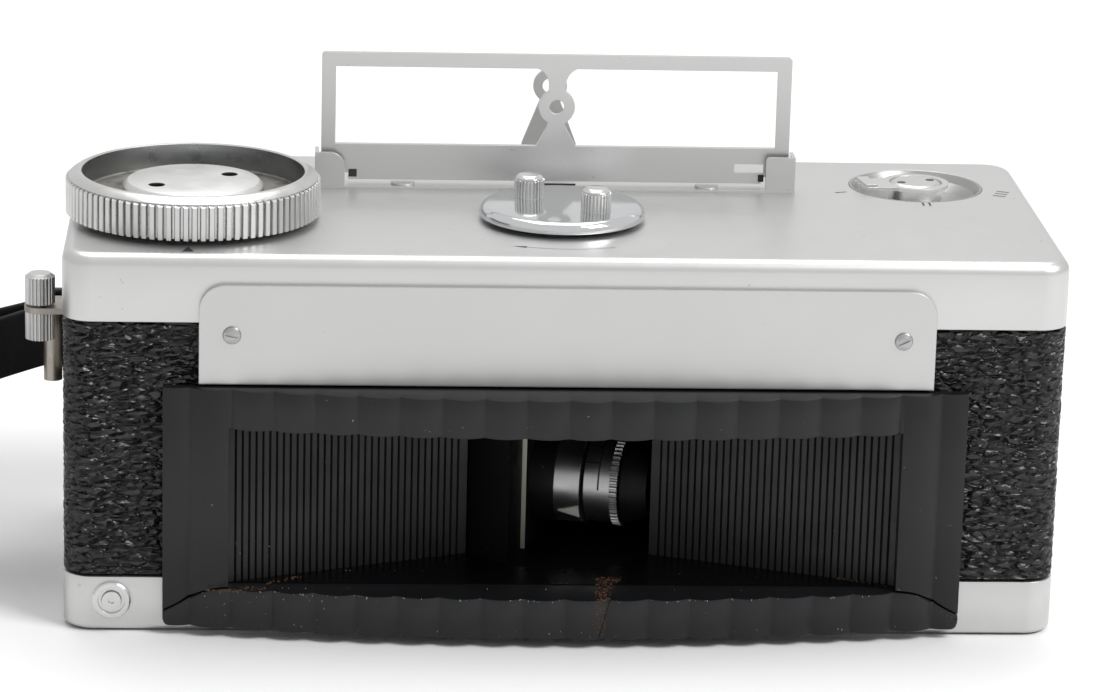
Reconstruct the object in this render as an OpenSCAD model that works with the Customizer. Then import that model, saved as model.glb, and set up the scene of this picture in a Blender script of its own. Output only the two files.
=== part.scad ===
// Panoramic camera for 16 mm film, with a lens that swings on an upright turret
// The origin is the mouth of the tripod socket in the base; +Z is up and the camera looks along -Y

/* [Body] */
// Width of the body over its covers
body_w = 130; // [124:1:145]
// Depth of the body over its covers
body_d = 56; // [54:1:62]
// Height from the base to the top plate
body_h = 50.5; // [49:0.5:56]
// Corner radius seen from above
corner_r = 4; // [3.5:0.1:5]
// Height of the base cover
base_h = 7.3; // [7:0.1:8.5]
// Height of the top cover
top_h = 8.9; // [8:0.1:10]
// Sheet thickness of both covers
cover_t = 1.2; // [1:0.1:1.4]
// Rounding of the top cover's upper edge
edge_r = 1.6; // [1.2:0.1:2]
// Rounding of the base cover's lower edge
base_edge_r = 0.8; // [0.5:0.1:1]
// Wall of the cast body
wall = 2; // [1.6:0.1:2.4]
// Floor of the cast body
floor_t = 1.2; // [1:0.1:1.4]
// Thickness of the leather
leather_t = 0.8; // [0.6:0.1:1]
// Thickness of the mechanism plate
deck_t = 2; // [1.6:0.1:2.6]
// Distance from the end of the body to the back door's edge
door_margin = 4.5; // [4:0.1:6]

/* [Horn] */
// Width of the horn over its lips
horn_w = 104; // [100:1:110]
// Width of the horn's mouth
mouth_w = 87; // [84:1:90]
// Height of the horn's floor above the base
horn_floor_z = 6.7; // [6.5:0.1:7]
// Height of the horn's mouth
mouth_h = 21.4; // [20.5:0.1:23]
// Height of the top lip
brow_h = 5.3; // [4.5:0.1:6]
// How far the lips stand out at their ends
lip_out = 1.3; // [1:0.1:2]
// How much further the lips stand out in the middle
lip_bulge = 5; // [3:0.5:7]
// Height of the lower lip's underside
lip_bottom_z = 1.1; // [0.6:0.1:1.6]
// Number of flutes across the lips
flute_n = 20; // [16:2:24]
// Depth of a flute
flute_depth = 0.8; // [0.5:0.1:1]
// Pitch of the grooves in the side walls
rib_pitch = 0.95; // [0.8:0.05:1.4]
// Depth of the grooves in the side walls
rib_depth = 0.45; // [0.3:0.05:0.6]
// Thickness of the horn's side walls
horn_wall_t = 2.2; // [1.8:0.1:2.6]
// Thickness of the horn's floor
horn_floor_t = 1.2; // [1:0.1:1.3]
// Width of the neck at the turret
neck_w = 24.4; // [22:0.2:26]

/* [Turret and lens] */
// Distance of the turret axis behind the body's front
turret_back = 21; // [20.5:0.1:22]
// Radius of the turret drum
drum_r = 14.6; // [14.2:0.1:15]
// Height of the lens axis
lens_z = 15; // [14.5:0.1:15.5]
// Turn of the lens from straight ahead, at rest
rest_turn = 73; // [68:1:76]
// Distance of the lens plate behind the turret axis
plate_back = 2.2; // [2:0.1:3]
// Width of the lens plate
lens_plate_w = 14.4; // [13:0.1:16]
// Radius of the barrel that carries the lens rings
barrel_r = 4.4; // [4.2:0.1:4.6]
// Radius of the index ring
index_r = 6; // [5.8:0.1:6.3]
// Radius of the scale on the aperture ring
scale_r = 5.6; // [5.2:0.1:5.8]
// Radius of the glass
glass_r = 3.1; // [2.6:0.1:3.3]
// Radius of the curved film path
film_r = 25; // [24.5:0.1:26]
// Width of the film
film_w = 16; // [15.5:0.1:16.5]
// Height of the picture on the film
frame_h = 10; // [9:0.5:11]
// Radius of the turret shaft
turret_shaft_r = 2.5; // [2.2:0.1:2.8]

/* [Cocking disc] */
// Radius of the cocking disc
disc_r = 11; // [10:0.1:12]
// Thickness of the cocking disc
disc_t = 1.6; // [1.4:0.1:2]
// Radius of a cocking post
post_r = 2; // [1.6:0.1:2.3]
// Height of a cocking post
post_h = 3.1; // [2.8:0.1:4]
// Distance of a cocking post from the turret axis
post_out = 5.5; // [5:0.1:6.5]

/* [Wind knob] */
// Radius of the wind knob over its ribs
knob_r = 16.7; // [15.5:0.1:17]
// Height of the wind knob
knob_h = 5.6; // [5:0.1:6.5]
// Number of ribs round the wind knob
knob_ribs = 94; // [80:2:110]
// Depth of the ribs
knob_rib_depth = 0.45; // [0.3:0.05:0.6]
// Radius of the recess in the knob
knob_recess_r = 14.6; // [13.5:0.1:14.8]
// Depth of the recess in the knob
knob_recess = 3.4; // [3:0.1:3.8]
// Radius of the cap in the middle of the knob
cap_r = 9.3; // [8.5:0.1:10]
// Height of the cap
cap_h = 2; // [1.6:0.1:2.4]
// Radius of the wind shaft
wind_shaft_r = 2; // [1.8:0.1:2.4]
// Radius of the take-up spool's flanges
spool_r = 12; // [11:0.1:13]

/* [Finder] */
// Width of the finder frame
finder_w = 63.6; // [60:0.2:66]
// Height of the finder frame
finder_h = 17.5; // [16.8:0.1:17.6]
// Thickness of the finder frame
finder_t = 0.8; // [0.7:0.05:0.9]
// Distance of the finder pivot behind the body's front
finder_back = 38.1; // [37.6:0.1:38.2]
// Height of the finder pivot above the top plate
finder_pivot_h = 2.9; // [2.8:0.1:3.2]
// Height of the frame's lower bar
finder_bar_h = 4.9; // [4.5:0.1:5.4]
// Width of the frame's top and side rails
finder_rail = 1.9; // [1.7:0.1:2.3]
// Radius of the sight disc on the frame's post
sight_disc_r = 2.45; // [2:0.05:2.6]
// Height of the ears that hold the frame
ear_h = 5; // [4.6:0.1:5.5]
// Width of the front of an ear
ear_w = 4; // [3.5:0.1:4.5]
// Thickness of the ears
ear_t = 0.5; // [0.4:0.05:0.6]

/* [Rear sight] */
// Distance of the rear sight's pivot from the body's rear
sight_in = 1.65; // [1.6:0.05:1.7]
// Height of the rear sight's ring above its pivot
sight_h = 9.4; // [8.5:0.1:10]
// Outer radius of the rear sight's ring
sight_ring_r = 2.35; // [2:0.05:2.8]
// Radius of the hole in the rear sight's ring
sight_hole_r = 1.05; // [0.9:0.05:1.3]
// Width of the rear sight at its foot
sight_foot_w = 7.6; // [6.5:0.1:8.5]
// Thickness of the rear sight
sight_t = 0.7; // [0.6:0.05:0.8]

/* [Speed dish] */
// Radius of the speed dish
dish_r = 9.1; // [8.8:0.1:9.5]
// Depth of the speed dish
dish_depth = 2.4; // [2:0.1:2.8]
// Distance of the dish from the end of the body
dish_in = 15.1; // [14:0.1:16]
// Distance of the dish behind the body's front
dish_back = 41.4; // [39:0.1:42]
// Radius of the hub in the dish
hub_r = 3.65; // [3.4:0.05:4]
// Reach of the speed lever from its axis
lever_reach = 8.3; // [7.9:0.1:8.4]

/* [Release] */
// Height of the release button
release_z = 4.3; // [4.2:0.1:4.4]
// How far the release button sits inward of the middle of the space beside the horn
release_in = -0.1; // [-0.5:0.05:0.5]
// Radius of the release button
button_r = 1.25; // [1.1:0.05:1.35]
// Radius of the collar round the button
collar_r = 2.5; // [2.4:0.05:2.7]

/* [Name plate] */
// Width of the name plate
plate_w = 94.8; // [90:0.2:98]
// Height of the name plate
plate_h = 13.1; // [12:0.1:13.4]
// Thickness of the name plate
plate_t = 0.8; // [0.6:0.1:1.2]
// Distance between the two screws of the name plate
plate_screws = 86.4; // [82:0.2:88]

/* [Side bracket and strap] */
// Distance of the bracket screw behind the body's front
bracket_back = 28; // [26:0.1:29]
// Height of the bracket's shelf
shelf_z = 35.3; // [33:0.1:35.5]
// Thickness of the shelf
shelf_t = 0.8; // [0.6:0.1:1]
// Radius of the knurled screw and nut
thumb_r = 2; // [1.7:0.05:2.1]
// Width of the strap
strap_w = 8.2; // [7.6:0.1:9]
// Thickness of the strap
strap_t = 1.4; // [1:0.1:1.5]

/* [Fits] */
// Radial clearance of a shaft that turns in its bearing
run = 0.05; // [0.03:0.01:0.08]
// Gap between pieces that move past each other
gap = 0.3; // [0.3:0.05:0.35]
// Gap between pieces that only lie side by side
seam = 0.15; // [0.1:0.01:0.2]

/* [Hidden] */
$fn = 48;

// Colours
satin = [0.74, 0.74, 0.73];
bright = [0.82, 0.82, 0.81];
steel = [0.5, 0.5, 0.5];
brass = [0.72, 0.58, 0.3];
black = [0.09, 0.09, 0.095];
anodised = [0.16, 0.165, 0.17];
hide = [0.06, 0.06, 0.065];
clear = [0.35, 0.42, 0.5];

// How far a cutting shape reaches past the faces that it opens
over = 1;

// Tripod bush over the origin, and the turret's lower bearing in front of it
socket_r = 2.55;
bush_r = 4.5;
bush_roof = 0.6;
bush_gap = 0.2;
pivot_r = 1.2;
bearing_r = pivot_r + 1.1;

// Main planes
half_w = body_w / 2;
half_d = body_d / 2;
front_y = -(turret_back + bearing_r + bush_gap + bush_r);
rear_y = front_y + body_d;
mid_y = front_y + half_d;
top_z = body_h - top_h;
inner = leather_t + wall;
floor_z = cover_t + floor_t;
roof_z = horn_floor_z + mouth_h;
deck_top = roof_z + deck_t;
brow_z = roof_z + brow_h;
door_half = half_w - door_margin;
least_corner = 0.8;
shaft_room = 0.5;

// Screws in the base
base_screw_x = half_w - 9;
base_screw_y = half_d - 7;
base_screw_r = 1;
base_head_r = 2;
base_head_h = 1;
base_slot = 0.4;
base_screw_sink = 0.1;

// Horn in plan
mouth = mouth_w / 2;
neck = neck_w / 2;
neck_room = 0.4;
neck_r = drum_r + neck_room;
turret_y = front_y + turret_back;
neck_y = turret_y - sqrt(neck_r * neck_r - neck * neck);
jamb_w = 6.5;
jamb = mouth + jamb_w;
lip_r = (pow(horn_w / 2, 2) + lip_bulge * lip_bulge) / (2 * lip_bulge);
lip_y = front_y - lip_out - lip_bulge;
flute_end = 0.8;
flute_pitch = horn_w / (flute_n - flute_end);
flute_r = (pow(flute_pitch / 2, 2) + flute_depth * flute_depth) / (2 * flute_depth);
lip_half = horn_w / 2;
lip_end_h = 2.1;
lip_ease = 0.8;

// Side walls of the horn in plan: run, direction towards the neck, and the way to the outside
wall_run = norm([mouth - neck, neck_y - front_y]);
wall_dir = [neck - mouth, neck_y - front_y] / wall_run;
wall_in = [wall_dir.y, -wall_dir.x];
rib_n = floor(wall_run / rib_pitch) - 1;
groove_w = 0.32;
wall_foot = 2;
function wall_rear_y(x) = neck_y + wall_in.y * horn_wall_t
  + (x - neck - wall_in.x * horn_wall_t) * wall_dir.y / wall_dir.x;

// Turret
drum_room = 0.5;
drum_z = horn_floor_z - horn_floor_t;
drum_top = roof_z - drum_room;
disc_wall = 0.9;
drum_wall = 1.4;
bulkhead_t = 1.2;
bulkhead_in = 0.5;
lens_plate_t = 0.6;
bulkhead_y = plate_back + lens_plate_t;
slit_wall = 0.8;
slit_h = frame_h + 2;
slit_w = 3.6;
slit_gap = 0.8;
slit_seat = 3;
slit_throat = 8;
gate_t = 1.2;
gate_in = film_r - gate_t / 2;
gate_out = film_r + gate_t / 2;
slit_end = gate_in - gap;
gate_turn = 64;
gate_side = 4;

// Lens: distances along its axis from the turret axis
barrel_step = 0.3;
flange_step = 0.2;
tail_len = 4;
index_start = 1.2;
index_len = 3.5;
index_end = index_start + index_len;
pointer_turn = 212;
pointer_rise = 0.2;
pointer_w = 2;
pointer_len = 2.9;
pointer_in = 0.1;
scale_gap = 0.5;
scale_start = index_end + scale_gap;
scale_len = 3.6;
knurl_w = 1;
knurl_rise = 0.4;
knurl_depth = 0.3;
knurl_n = 50;
knurl_start = scale_start + scale_len;
knurl_end = knurl_start + knurl_w;
cell_start = knurl_end + gap;
cell_len = 3.4;
cell_end = cell_start + cell_len;
cell_step = 0.3;
cell_band = 1;
cell_rim = 0.4;
cell_lip = 0.9;
cell_sink = 1.4;
front_glass_t = 1.6;
rear_glass_t = 1.4;
rear_glass_in = 0.4;
glass_bow = 0.5;
glass_curve = 2.5 * glass_r;

// Film chambers: partitions beside the film gate, and the posts that guide the film
part_t = 1.2;
part_gap = 2.6;
part_x = film_r + part_gap;
part_front_y = wall_rear_y(part_x - part_t / 2) + 2 * gap;
part_back = 9.4;
part_rear_y = turret_y + part_back;
guide_r = 1.5;
guide_out = 1;
guide_x = part_x + guide_out;
guide_back = 14;
guide_y = turret_y + guide_back;

// Mechanism above the plate
barrel_out = 12;
barrel_wall = 0.8;
barrel_h = 7;
barrel_top = deck_top + barrel_h;
spring_t = 0.35;
spring_turns = 6;
shaft_step = 1.2;
gear_module = 0.5;
gear_teeth = 48;
pinion_teeth = 16;
gear_play = 0.1;
gear_lift = 1;
gear_z = barrel_top + gear_lift;
gear_t = 1.6;
tooth_up = 0.9 * gear_module;
tooth_down = 1.2 * gear_module;
gear_r = gear_module * gear_teeth / 2;
pinion_r = gear_module * pinion_teeth / 2;
pinion_over = 0.2;
pinion_hub_r = 2;
pinion_hub_h = 1.2;
governor_turn = 20;
governor_out = gear_r + pinion_r + gear_play;
governor_x = governor_out * cos(governor_turn);
governor_y = turret_y + governor_out * sin(governor_turn);
stud_r = 1;
stud_over = 1.4;
flywheel_r = 6.5;
flywheel_t = 1.6;
flywheel_z = gear_z + gear_t + 1;
flywheel_hole_r = 1.2;
flywheel_hole_out = 4;

// Cocking disc and posts
disc_lift = 0.5;
disc_ease = 1.1;
post_turn = 140;
post_knurl = 0.15;
post_ribs = 26;
post_ease = 0.5;
post_step = 0.1;

// Knob, ratchet and spool
knob_over = 0.35;
knob_x = knob_r - half_w - knob_over;
knob_y = turret_y;
knob_lift = 0.6;
knob_z = body_h + knob_lift;
knob_ease = 0.9;
knob_step = 0.2;
cap_z = knob_z + knob_h - knob_recess;
cap_ease = 0.7;
cap_hole_r = 1;
cap_hole_x = 4.7;
cap_hole_y = 3.1;
cap_web = 0.6;
ratchet_r = 7;
ratchet_depth = 0.8;
ratchet_t = 1.6;
ratchet_teeth = 24;
pawl_x = 13;
pawl_y = 5;
pawl_r = 1.5;
pawl_h = 2.4;
pawl_t = 0.5;
pawl_tip = ratchet_r + 0.7;
spool_z = horn_floor_z;
spool_flange = 1;
spool_core_r = 4;
film_room = 0.6;
spool_top = spool_z + 2 * spool_flange + film_w + film_room;

// Finder and rear sight
foot_t = 0.4;
finder_y = front_y + finder_back;
finder_z = body_h + finder_pivot_h;
finder_lift = 1;
finder_low = body_h + finder_lift;
finder_half = finder_w / 2;
finder_pin_r = 0.45;
finder_knuckle_r = 1;
finder_pin_in = 1.6;
finder_screw_in = 11.1;
finder_screw_x = finder_half - finder_screw_in;
finder_screw_drop = 0.2;
finder_screw_y = finder_y - finder_screw_drop;
finder_screw_r = 1.6;
finder_screw_t = 0.25;
ear_y = finder_y - 1.9;
ear_d = 3.4;
ear_side = finder_half + gap;
ear_round = 2;
ear_ease = 0.5;
sight_y = rear_y - sight_in;
sight_lift = 1.2;
sight_z = body_h + sight_lift;
sight_pin_r = 0.4;
sight_knuckle_r = 0.8;
sight_half = sight_foot_w / 2;
sight_ear_r = 0.9;
sight_ear_w = 2.3;
sight_pin_short = 0.2;
sight_base_d = 4;
sight_slot_d = 1.2;
sight_foot_h = 1.2;
sight_neck_half = 1.4;
sight_neck_drop = 2;
sight_screw_x = sight_half + 1.1;
sight_screw_y = sight_y - 3;
sight_screw_r = 0.8;
sight_screw_t = 0.2;

// Finder frame in x and z: a lower bar, two windows and a waisted post between them
finder_top = finder_low + finder_h;
window_low = finder_low + finder_bar_h;
window_top = finder_top - finder_rail;
disc_up = 5.4;
disc_z = window_low + disc_up;
disc_hole_r = 1;
finder_round = 0.5;
post_half = 1.15;
post_sink = 0.5;
post_foot = 2.65;
post_foot_h = 2.8;
flare = 2.5;
flare_drop = 2.3;
slot_in = 7.4;
slot_up = 1.5;
slot_w = 4;
slot_h = 1.2;
notch_in = 1.5;
notch_half = 2.2;

// Speed dish, hub and lever
dish_x = half_w - dish_in;
dish_y = front_y + dish_back;
dish_floor = body_h - dish_depth;
dish_t = 0.7;
dish_rim = 0.3;
dish_bowl = 3.7;
speed_shaft_r = 1.5;
hub_rise = 0.7;
hub_top = body_h + hub_rise;
hub_ease = 0.4;
hub_step = 0.7;
hub_hole_r = 0.6;
hub_hole_out = 2.2;
hub_hole_deep = 1;
cam_z = top_z + 1;
cam_r = 3.6;
cam_t = 1.6;
cam_off = 0.8;
lever_turn = 190;
lever_lift = 0.1;
lever_low = body_h + lever_lift;
blade_t = 0.5;
blade_ring = 0.9;
blade_root = 3.2;
blade_tip = 2.4;
blade_teeth = 6;
blade_tooth = 0.5;
blade_end = lever_reach - blade_tooth;
grip_w = 1.6;
grip_h = 0.9;

// Release: button, crank lever and the nose that holds the drum
release_x = -(half_w + lip_half) / 2 + release_in;
sleeve_r = button_r + 0.7;
collar_h = 0.9;
collar_ease = 0.2;
collar_sink = 0.4;
button_out = 1;
button_dimple_r = 0.4;
button_dimple = 0.4;
button_flange = 0.5;
button_flange_t = 0.8;
button_end = front_y + 5.5;
lever_z = floor_z + gap;
lever_t = 1;
lever_w = 2.4;
lever_hub_r = 2.6;
peg_r = 1;
peg_y = button_end + gap + peg_r;
nose_turn = 195;
nose_r = 0.7;
nose_out = drum_r + gap + nose_r;
nose_x = nose_out * cos(nose_turn);
nose_y = turret_y + nose_out * sin(nose_turn);
crank_r = 12;
crank_x = nose_x + crank_r * sin(nose_turn);
crank_y = nose_y - crank_r * cos(nose_turn);
crank_stud_h = 2;
push_x = release_x - crank_x;
push_y = peg_y + 0.5 - crank_y;
lever_cross_y = crank_y + push_y * (-part_x - crank_x) / push_x;
lever_slot = 12;

// Back door: hinge, pull and catch
hinge_r = 1.1;
hinge_out = 0.35;
hinge_y = rear_y + hinge_r + hinge_out;
hinge_z = base_h + gap / 2;
hinge_room = 0.6;
hinge_cut = 3;
knuckle = 6;
knuckles = 5;
leaf_half = knuckles * knuckle / 2;
leaf_t = 0.6;
leaf_up = 5;
leaf_low = 2;
hinge_pin_r = 0.5;
hinge_pin_over = 0.4;
pull_w = 14;
pull_h = 1.6;
pull_out = 1.4;
pull_drop = 3;
catch_w = 6;
catch_back = 7;
catch_foot = 4;
catch_foot_t = 0.8;
catch_t = 0.5;
catch_drop = 5.5;
catch_h = top_z - deck_top - catch_drop;
catch_r = 1;

// Name plate
plate_lift = 0.3;
plate_top = brow_z + plate_lift + plate_h;
plate_corner = 3.3;
plate_screw_r = 0.7;
plate_head_r = 1.2;
plate_head_h = 0.55;
plate_slot_w = 0.3;
plate_slot_z = 0.25;

// Side bracket
bracket_y = front_y + bracket_back;
bracket_t = 0.7;
bracket_drop = 9;
bracket_front = 3;
bracket_d = 7.6;
bolt_r = 0.8;
boss_r = 2.1;
shelf_w = 4;
shelf_d = 6.6;
rod_r = 1.25;
rod_out = 2.7;
rod_back = 3.3;
rod_drop = 10.5;
thumb_out = 4.2;
thumb_x = -half_w - thumb_out;
thumb_knurl = 0.15;
thumb_ribs = 24;
thumb_h = 3.7;
thumb_ease = 0.4;
nut_h = 3.8;
nut_floor = 0.4;
staple_r = 0.6;
staple_x = -half_w - 2.9;
staple_y = bracket_y + 7.5;
staple_z = 30.8;
staple_half = strap_w / 2 + staple_r + gap;

// The strap leaves the staple, slopes down to the table, turns there and comes back
strap_route = [
  [-66.2, 7, 31], [-66.4, 6.4, 31], [-67, 5.9, 30.8], [-67.9, 5.7, 30.6], [-72, 5.4, 29.4],
  [-78, 4.2, 27.6], [-90, 0, 24], [-104, -5, 20], [-118, -9, 15.8], [-132, -11, 11.6],
  [-145, -8.5, 7.7], [-153, -3, 5.3], [-157.5, 4, 4.8], [-158, 11, 4.8], [-155, 18, 4.9],
  [-147, 24, 7.1], [-134, 27, 11], [-120, 25, 15.2], [-104, 20, 20], [-90, 15, 24],
  [-78, 10.8, 27.6], [-72, 9.6, 29.4], [-67.9, 9.3, 30.6], [-67, 9.1, 30.8], [-66.4, 8.6, 31],
  [-66.2, 8, 31]
];
strap_ease = 0.35;

function unit(v) = v / norm(v);
function along(p, i) = unit(p[min(i + 1, len(p) - 1)] - p[max(i - 1, 0)]);
function level(t) = unit([t.y, -t.x, 0]);
function polar(r, a) = [r * cos(a), r * sin(a)];

// Outline of a flat strap with eased corners, across its thickness and its width
function strap_section(t, w, ease) = [
  [t / 2, -w / 2 + ease], [t / 2, w / 2 - ease], [t / 2 - ease, w / 2], [ease - t / 2, w / 2],
  [-t / 2, w / 2 - ease], [-t / 2, ease - w / 2], [ease - t / 2, -w / 2], [t / 2 - ease, -w / 2]
];

// Round wire outline
function wire_section(r, n) = [for (i = [0:n - 1]) polar(r, 360 * i / n)];

// Section points carried along a path, with the section's second axis upright
function swept(path, section) = [
  for (i = [0:len(path) - 1])
    let (t = along(path, i), n = level(t), u = cross(n, t))
    for (s = section) path[i] + s.x * n + s.y * u
];

function side_faces(rings, n) = [
  for (i = [0:rings - 2], j = [0:n - 1])
    let (a = i * n + j, b = i * n + (j + 1) % n)
    each [[a, b, b + n], [a, b + n, a + n]]
];

function fan(first, n, turn) = [
  for (j = [1:n - 2]) turn ? [first, first + j + 1, first + j] : [first, first + j, first + j + 1]
];

// Teeth with straight flanks: width at the root and at the tip as shares of the pitch
function gear_points(n, root, tip, at_root, at_tip) = [
  for (i = [0:n - 1], k = [[root, -at_root], [tip, -at_tip], [tip, at_tip], [root, at_root]])
    polar(k[0], 360 / n * (i + k[1] / 2))
];

// Parting line between the horn's frame and its lower lip: level, then round a bend and down to the end
split_r = 6;
split_in = 7.8;
split_x = lip_half - split_in;
split_end = [split_in, lip_bottom_z + lip_end_h - horn_floor_z + split_r];
split_slope = atan2(split_end.x, split_end.y) - acos(split_r / norm(split_end));
function split_point(a) = [split_x + split_r * sin(a), horn_floor_z - split_r * (1 - cos(a))];
function split_line(end) = concat(
  [for (k = [0:5]) split_point(split_slope * k / 5)],
  [split_point(split_slope) + (end - split_point(split_slope).x) * [1, -tan(split_slope)]]
);
function mirrored(p) = [for (i = [len(p) - 1:-1:0]) [-p[i].x, p[i].y]];
function reversed(p) = [for (i = [len(p) - 1:-1:0]) p[i]];
function lowered(p, by) = [for (q = p) [q.x, q.y - by]];

module rounded_rect(w, d, r) {
  square([w - 2 * r, d], center = true);
  square([w, d - 2 * r], center = true);
  for (sx = [-1, 1], sy = [-1, 1])
    translate([sx * (w / 2 - r), sy * (d / 2 - r)]) circle(r = r);
}

module body_outline(inset) {
  translate([0, mid_y])
    rounded_rect(body_w - 2 * inset, body_d - 2 * inset, max(corner_r - inset, least_corner));
}

// Block with the body's outline and a rounded upper edge
module eased_block(h, ease) {
  hull()
    for (sx = [-1, 1], sy = [-1, 1])
      translate([sx * (half_w - corner_r), mid_y + sy * (half_d - corner_r), 0])
        rotate_extrude($fn = 32) {
          square([corner_r, h - ease]);
          square([corner_r - ease, h]);
          translate([corner_r - ease, h - ease]) intersection() {
            circle(r = ease, $fn = 32);
            square(ease);
          }
        }
}

// Shape drawn in x and z, standing from y0 to y1
module upright(y0, y1) {
  translate([0, y1, 0]) rotate([90, 0, 0]) linear_extrude(y1 - y0) children();
}

// Rod along y, from y0 to y1
module rod_y(x, z, r, y0, y1) {
  translate([x, y0, z]) rotate([-90, 0, 0]) cylinder(r = r, h = y1 - y0);
}

// Rod along x, from x0 to x1
module rod_x(y, z, r, x0, x1) {
  translate([x0, y, z]) rotate([0, 90, 0]) cylinder(r = r, h = x1 - x0);
}

// Rod along z, from z0 to z1
module rod_z(x, y, r, z0, z1) {
  translate([x, y, z0]) cylinder(r = r, h = z1 - z0);
}

module tube_z(x, y, r, bore, z0, z1) {
  difference() {
    rod_z(x, y, r, z0, z1);
    rod_z(x, y, bore, z0 - over, z1 + over);
  }
}

// Copies at the four screws of the base
module at_base_screws() {
  for (sx = [-1, 1], sy = [-1, 1])
    translate([sx * base_screw_x, mid_y + sy * base_screw_y, 0]) children();
}

// Upright knurled cylinder on the z axis
module knurled(r, depth, n, h) {
  linear_extrude(h) polygon(gear_points(n, r - depth, r, 0.8, 0.35));
}

// Turns what is drawn looking along -Y to the way the turret stands at rest
module in_turret() {
  translate([0, turret_y, 0]) rotate([0, 0, rest_turn]) children();
}

// Turns a profile of radius and distance about the lens axis
module on_lens_axis() {
  in_turret() translate([0, 0, lens_z]) rotate([90, 0, 0]) children();
}

module lens_ring(d0, d1, r, bore) {
  translate([0, 0, d0]) difference() {
    cylinder(r = r, h = d1 - d0);
    translate([0, 0, -over]) cylinder(r = bore, h = d1 - d0 + 2 * over);
  }
}

// Sector of the plan about the turret axis, centred on the rear
module rear_sector(turn, r) {
  polygon(concat([[0, 0]], [for (a = [-turn:turn / 2:turn]) polar(r, 90 + a)]));
}

module body_casting() {
  color(black) {
    difference() {
      union() {
        translate([0, 0, base_h]) linear_extrude(top_z - base_h) body_outline(leather_t);
        translate([0, 0, cover_t]) linear_extrude(base_h - cover_t) body_outline(cover_t + seam);
      }
      translate([0, 0, floor_z]) linear_extrude(body_h) body_outline(inner);
      upright(front_y - over, front_y + inner + over)
        translate([-jamb, drum_z - seam]) square([2 * jamb, roof_z - drum_z + seam]);
      upright(rear_y - inner - over, rear_y + over)
        translate([-door_half, base_h]) square([2 * door_half, body_h]);
      rod_z(0, 0, bush_r, 0, floor_z + over);
      rod_y(release_x, release_z, sleeve_r, front_y - over, front_y + inner + over);
      rod_y(release_x, release_z, button_r + button_flange + gap, front_y + inner, peg_y + peg_r);
      at_base_screws() cylinder(r = base_screw_r, h = floor_z + over);
    }
    for (sx = [-1, 1]) {
      difference() {
        translate([sx * part_x - part_t / 2, part_front_y, floor_z])
          cube([part_t, part_rear_y - part_front_y, roof_z - floor_z]);
        if (sx < 0)
          translate([-part_x - part_t, lever_cross_y - lever_slot / 2, floor_z])
            cube([2 * part_t, lever_slot, lever_z + lever_t + gap - floor_z]);
      }
      rod_z(sx * guide_x, guide_y, guide_r, floor_z, roof_z);
    }
    rod_z(crank_x, crank_y, stud_r, floor_z, lever_z + lever_t + crank_stud_h);
  }
}

module base_cover() {
  color(satin)
    difference() {
      translate([0, 0, base_h]) mirror([0, 0, 1]) eased_block(base_h, base_edge_r);
      translate([0, 0, cover_t]) linear_extrude(base_h) body_outline(cover_t);
      upright(front_y - over, front_y + cover_t + over)
        translate([-jamb, drum_z - seam]) square([2 * jamb, base_h]);
      rod_z(0, 0, bush_r, -over, cover_t + over);
      rod_y(release_x, release_z, sleeve_r, front_y - over, front_y + cover_t + over);
      at_base_screws() {
        translate([0, 0, -over]) cylinder(r = base_screw_r, h = cover_t + 2 * over);
        translate([0, 0, -0.01]) cylinder(r1 = base_head_r, r2 = base_screw_r, h = base_head_h);
      }
    }
}

module base_screws() {
  color(steel)
    at_base_screws() translate([0, 0, base_screw_sink])
      difference() {
        rotate_extrude()
          polygon([
            [0, 0], [base_head_r - seam, 0], [base_screw_r, base_head_h - seam],
            [base_screw_r, floor_z - base_screw_sink], [0, floor_z - base_screw_sink]
          ]);
        translate([-base_head_r, -base_slot / 2, -base_slot])
          cube([2 * base_head_r, base_slot, 2 * base_slot]);
      }
}

module top_cover() {
  color(satin)
    difference() {
      translate([0, 0, top_z]) eased_block(top_h, edge_r);
      translate([0, 0, top_z - over]) linear_extrude(top_h - cover_t + over) body_outline(cover_t);
      rod_z(0, turret_y, turret_shaft_r + shaft_room, top_z, body_h + over);
      rod_z(knob_x, knob_y, wind_shaft_r + shaft_room, top_z, body_h + over);
      rod_z(dish_x, dish_y, dish_r, top_z, body_h + over);
    }
}

module leather_wrap() {
  color(hide)
    difference() {
      translate([0, 0, base_h + seam]) linear_extrude(top_z - base_h - 2 * seam) difference() {
        body_outline(0);
        body_outline(leather_t);
      }
      upright(front_y - over, front_y + leather_t + over)
        translate([-jamb, 0]) square([2 * jamb, roof_z]);
      upright(rear_y - leather_t - over, rear_y + over)
        translate([-door_half, 0]) square([2 * door_half, body_h]);
    }
}

module mechanism_plate() {
  color(brass) {
    difference() {
      translate([0, 0, roof_z]) linear_extrude(deck_t) body_outline(inner + gap);
      rod_z(0, turret_y, turret_shaft_r + run, roof_z - over, deck_top + over);
      rod_z(knob_x, knob_y, wind_shaft_r + run, roof_z - over, deck_top + over);
    }
    rod_z(governor_x, governor_y, stud_r, deck_top, flywheel_z + flywheel_t + stud_over);
  }
}

module film_gate() {
  color(black)
    translate([0, turret_y, floor_z])
      difference() {
        linear_extrude(roof_z - floor_z) intersection() {
          difference() {
            circle(r = gate_out);
            circle(r = gate_in);
          }
          rear_sector(gate_turn, 2 * film_r);
        }
        translate([0, 0, lens_z - floor_z - frame_h / 2]) linear_extrude(frame_h)
          rear_sector(gate_turn - gate_side, 2 * film_r);
      }
}

module tripod_bush() {
  color(brass)
    difference() {
      rod_z(0, 0, bush_r, 0, drum_z - gap);
      rod_z(0, 0, socket_r, -over, drum_z - gap - bush_roof);
    }
}

module door_outline() {
  translate([-door_half + gap, base_h + gap])
    square([2 * (door_half - gap), top_z - base_h - 2 * gap]);
}

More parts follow.
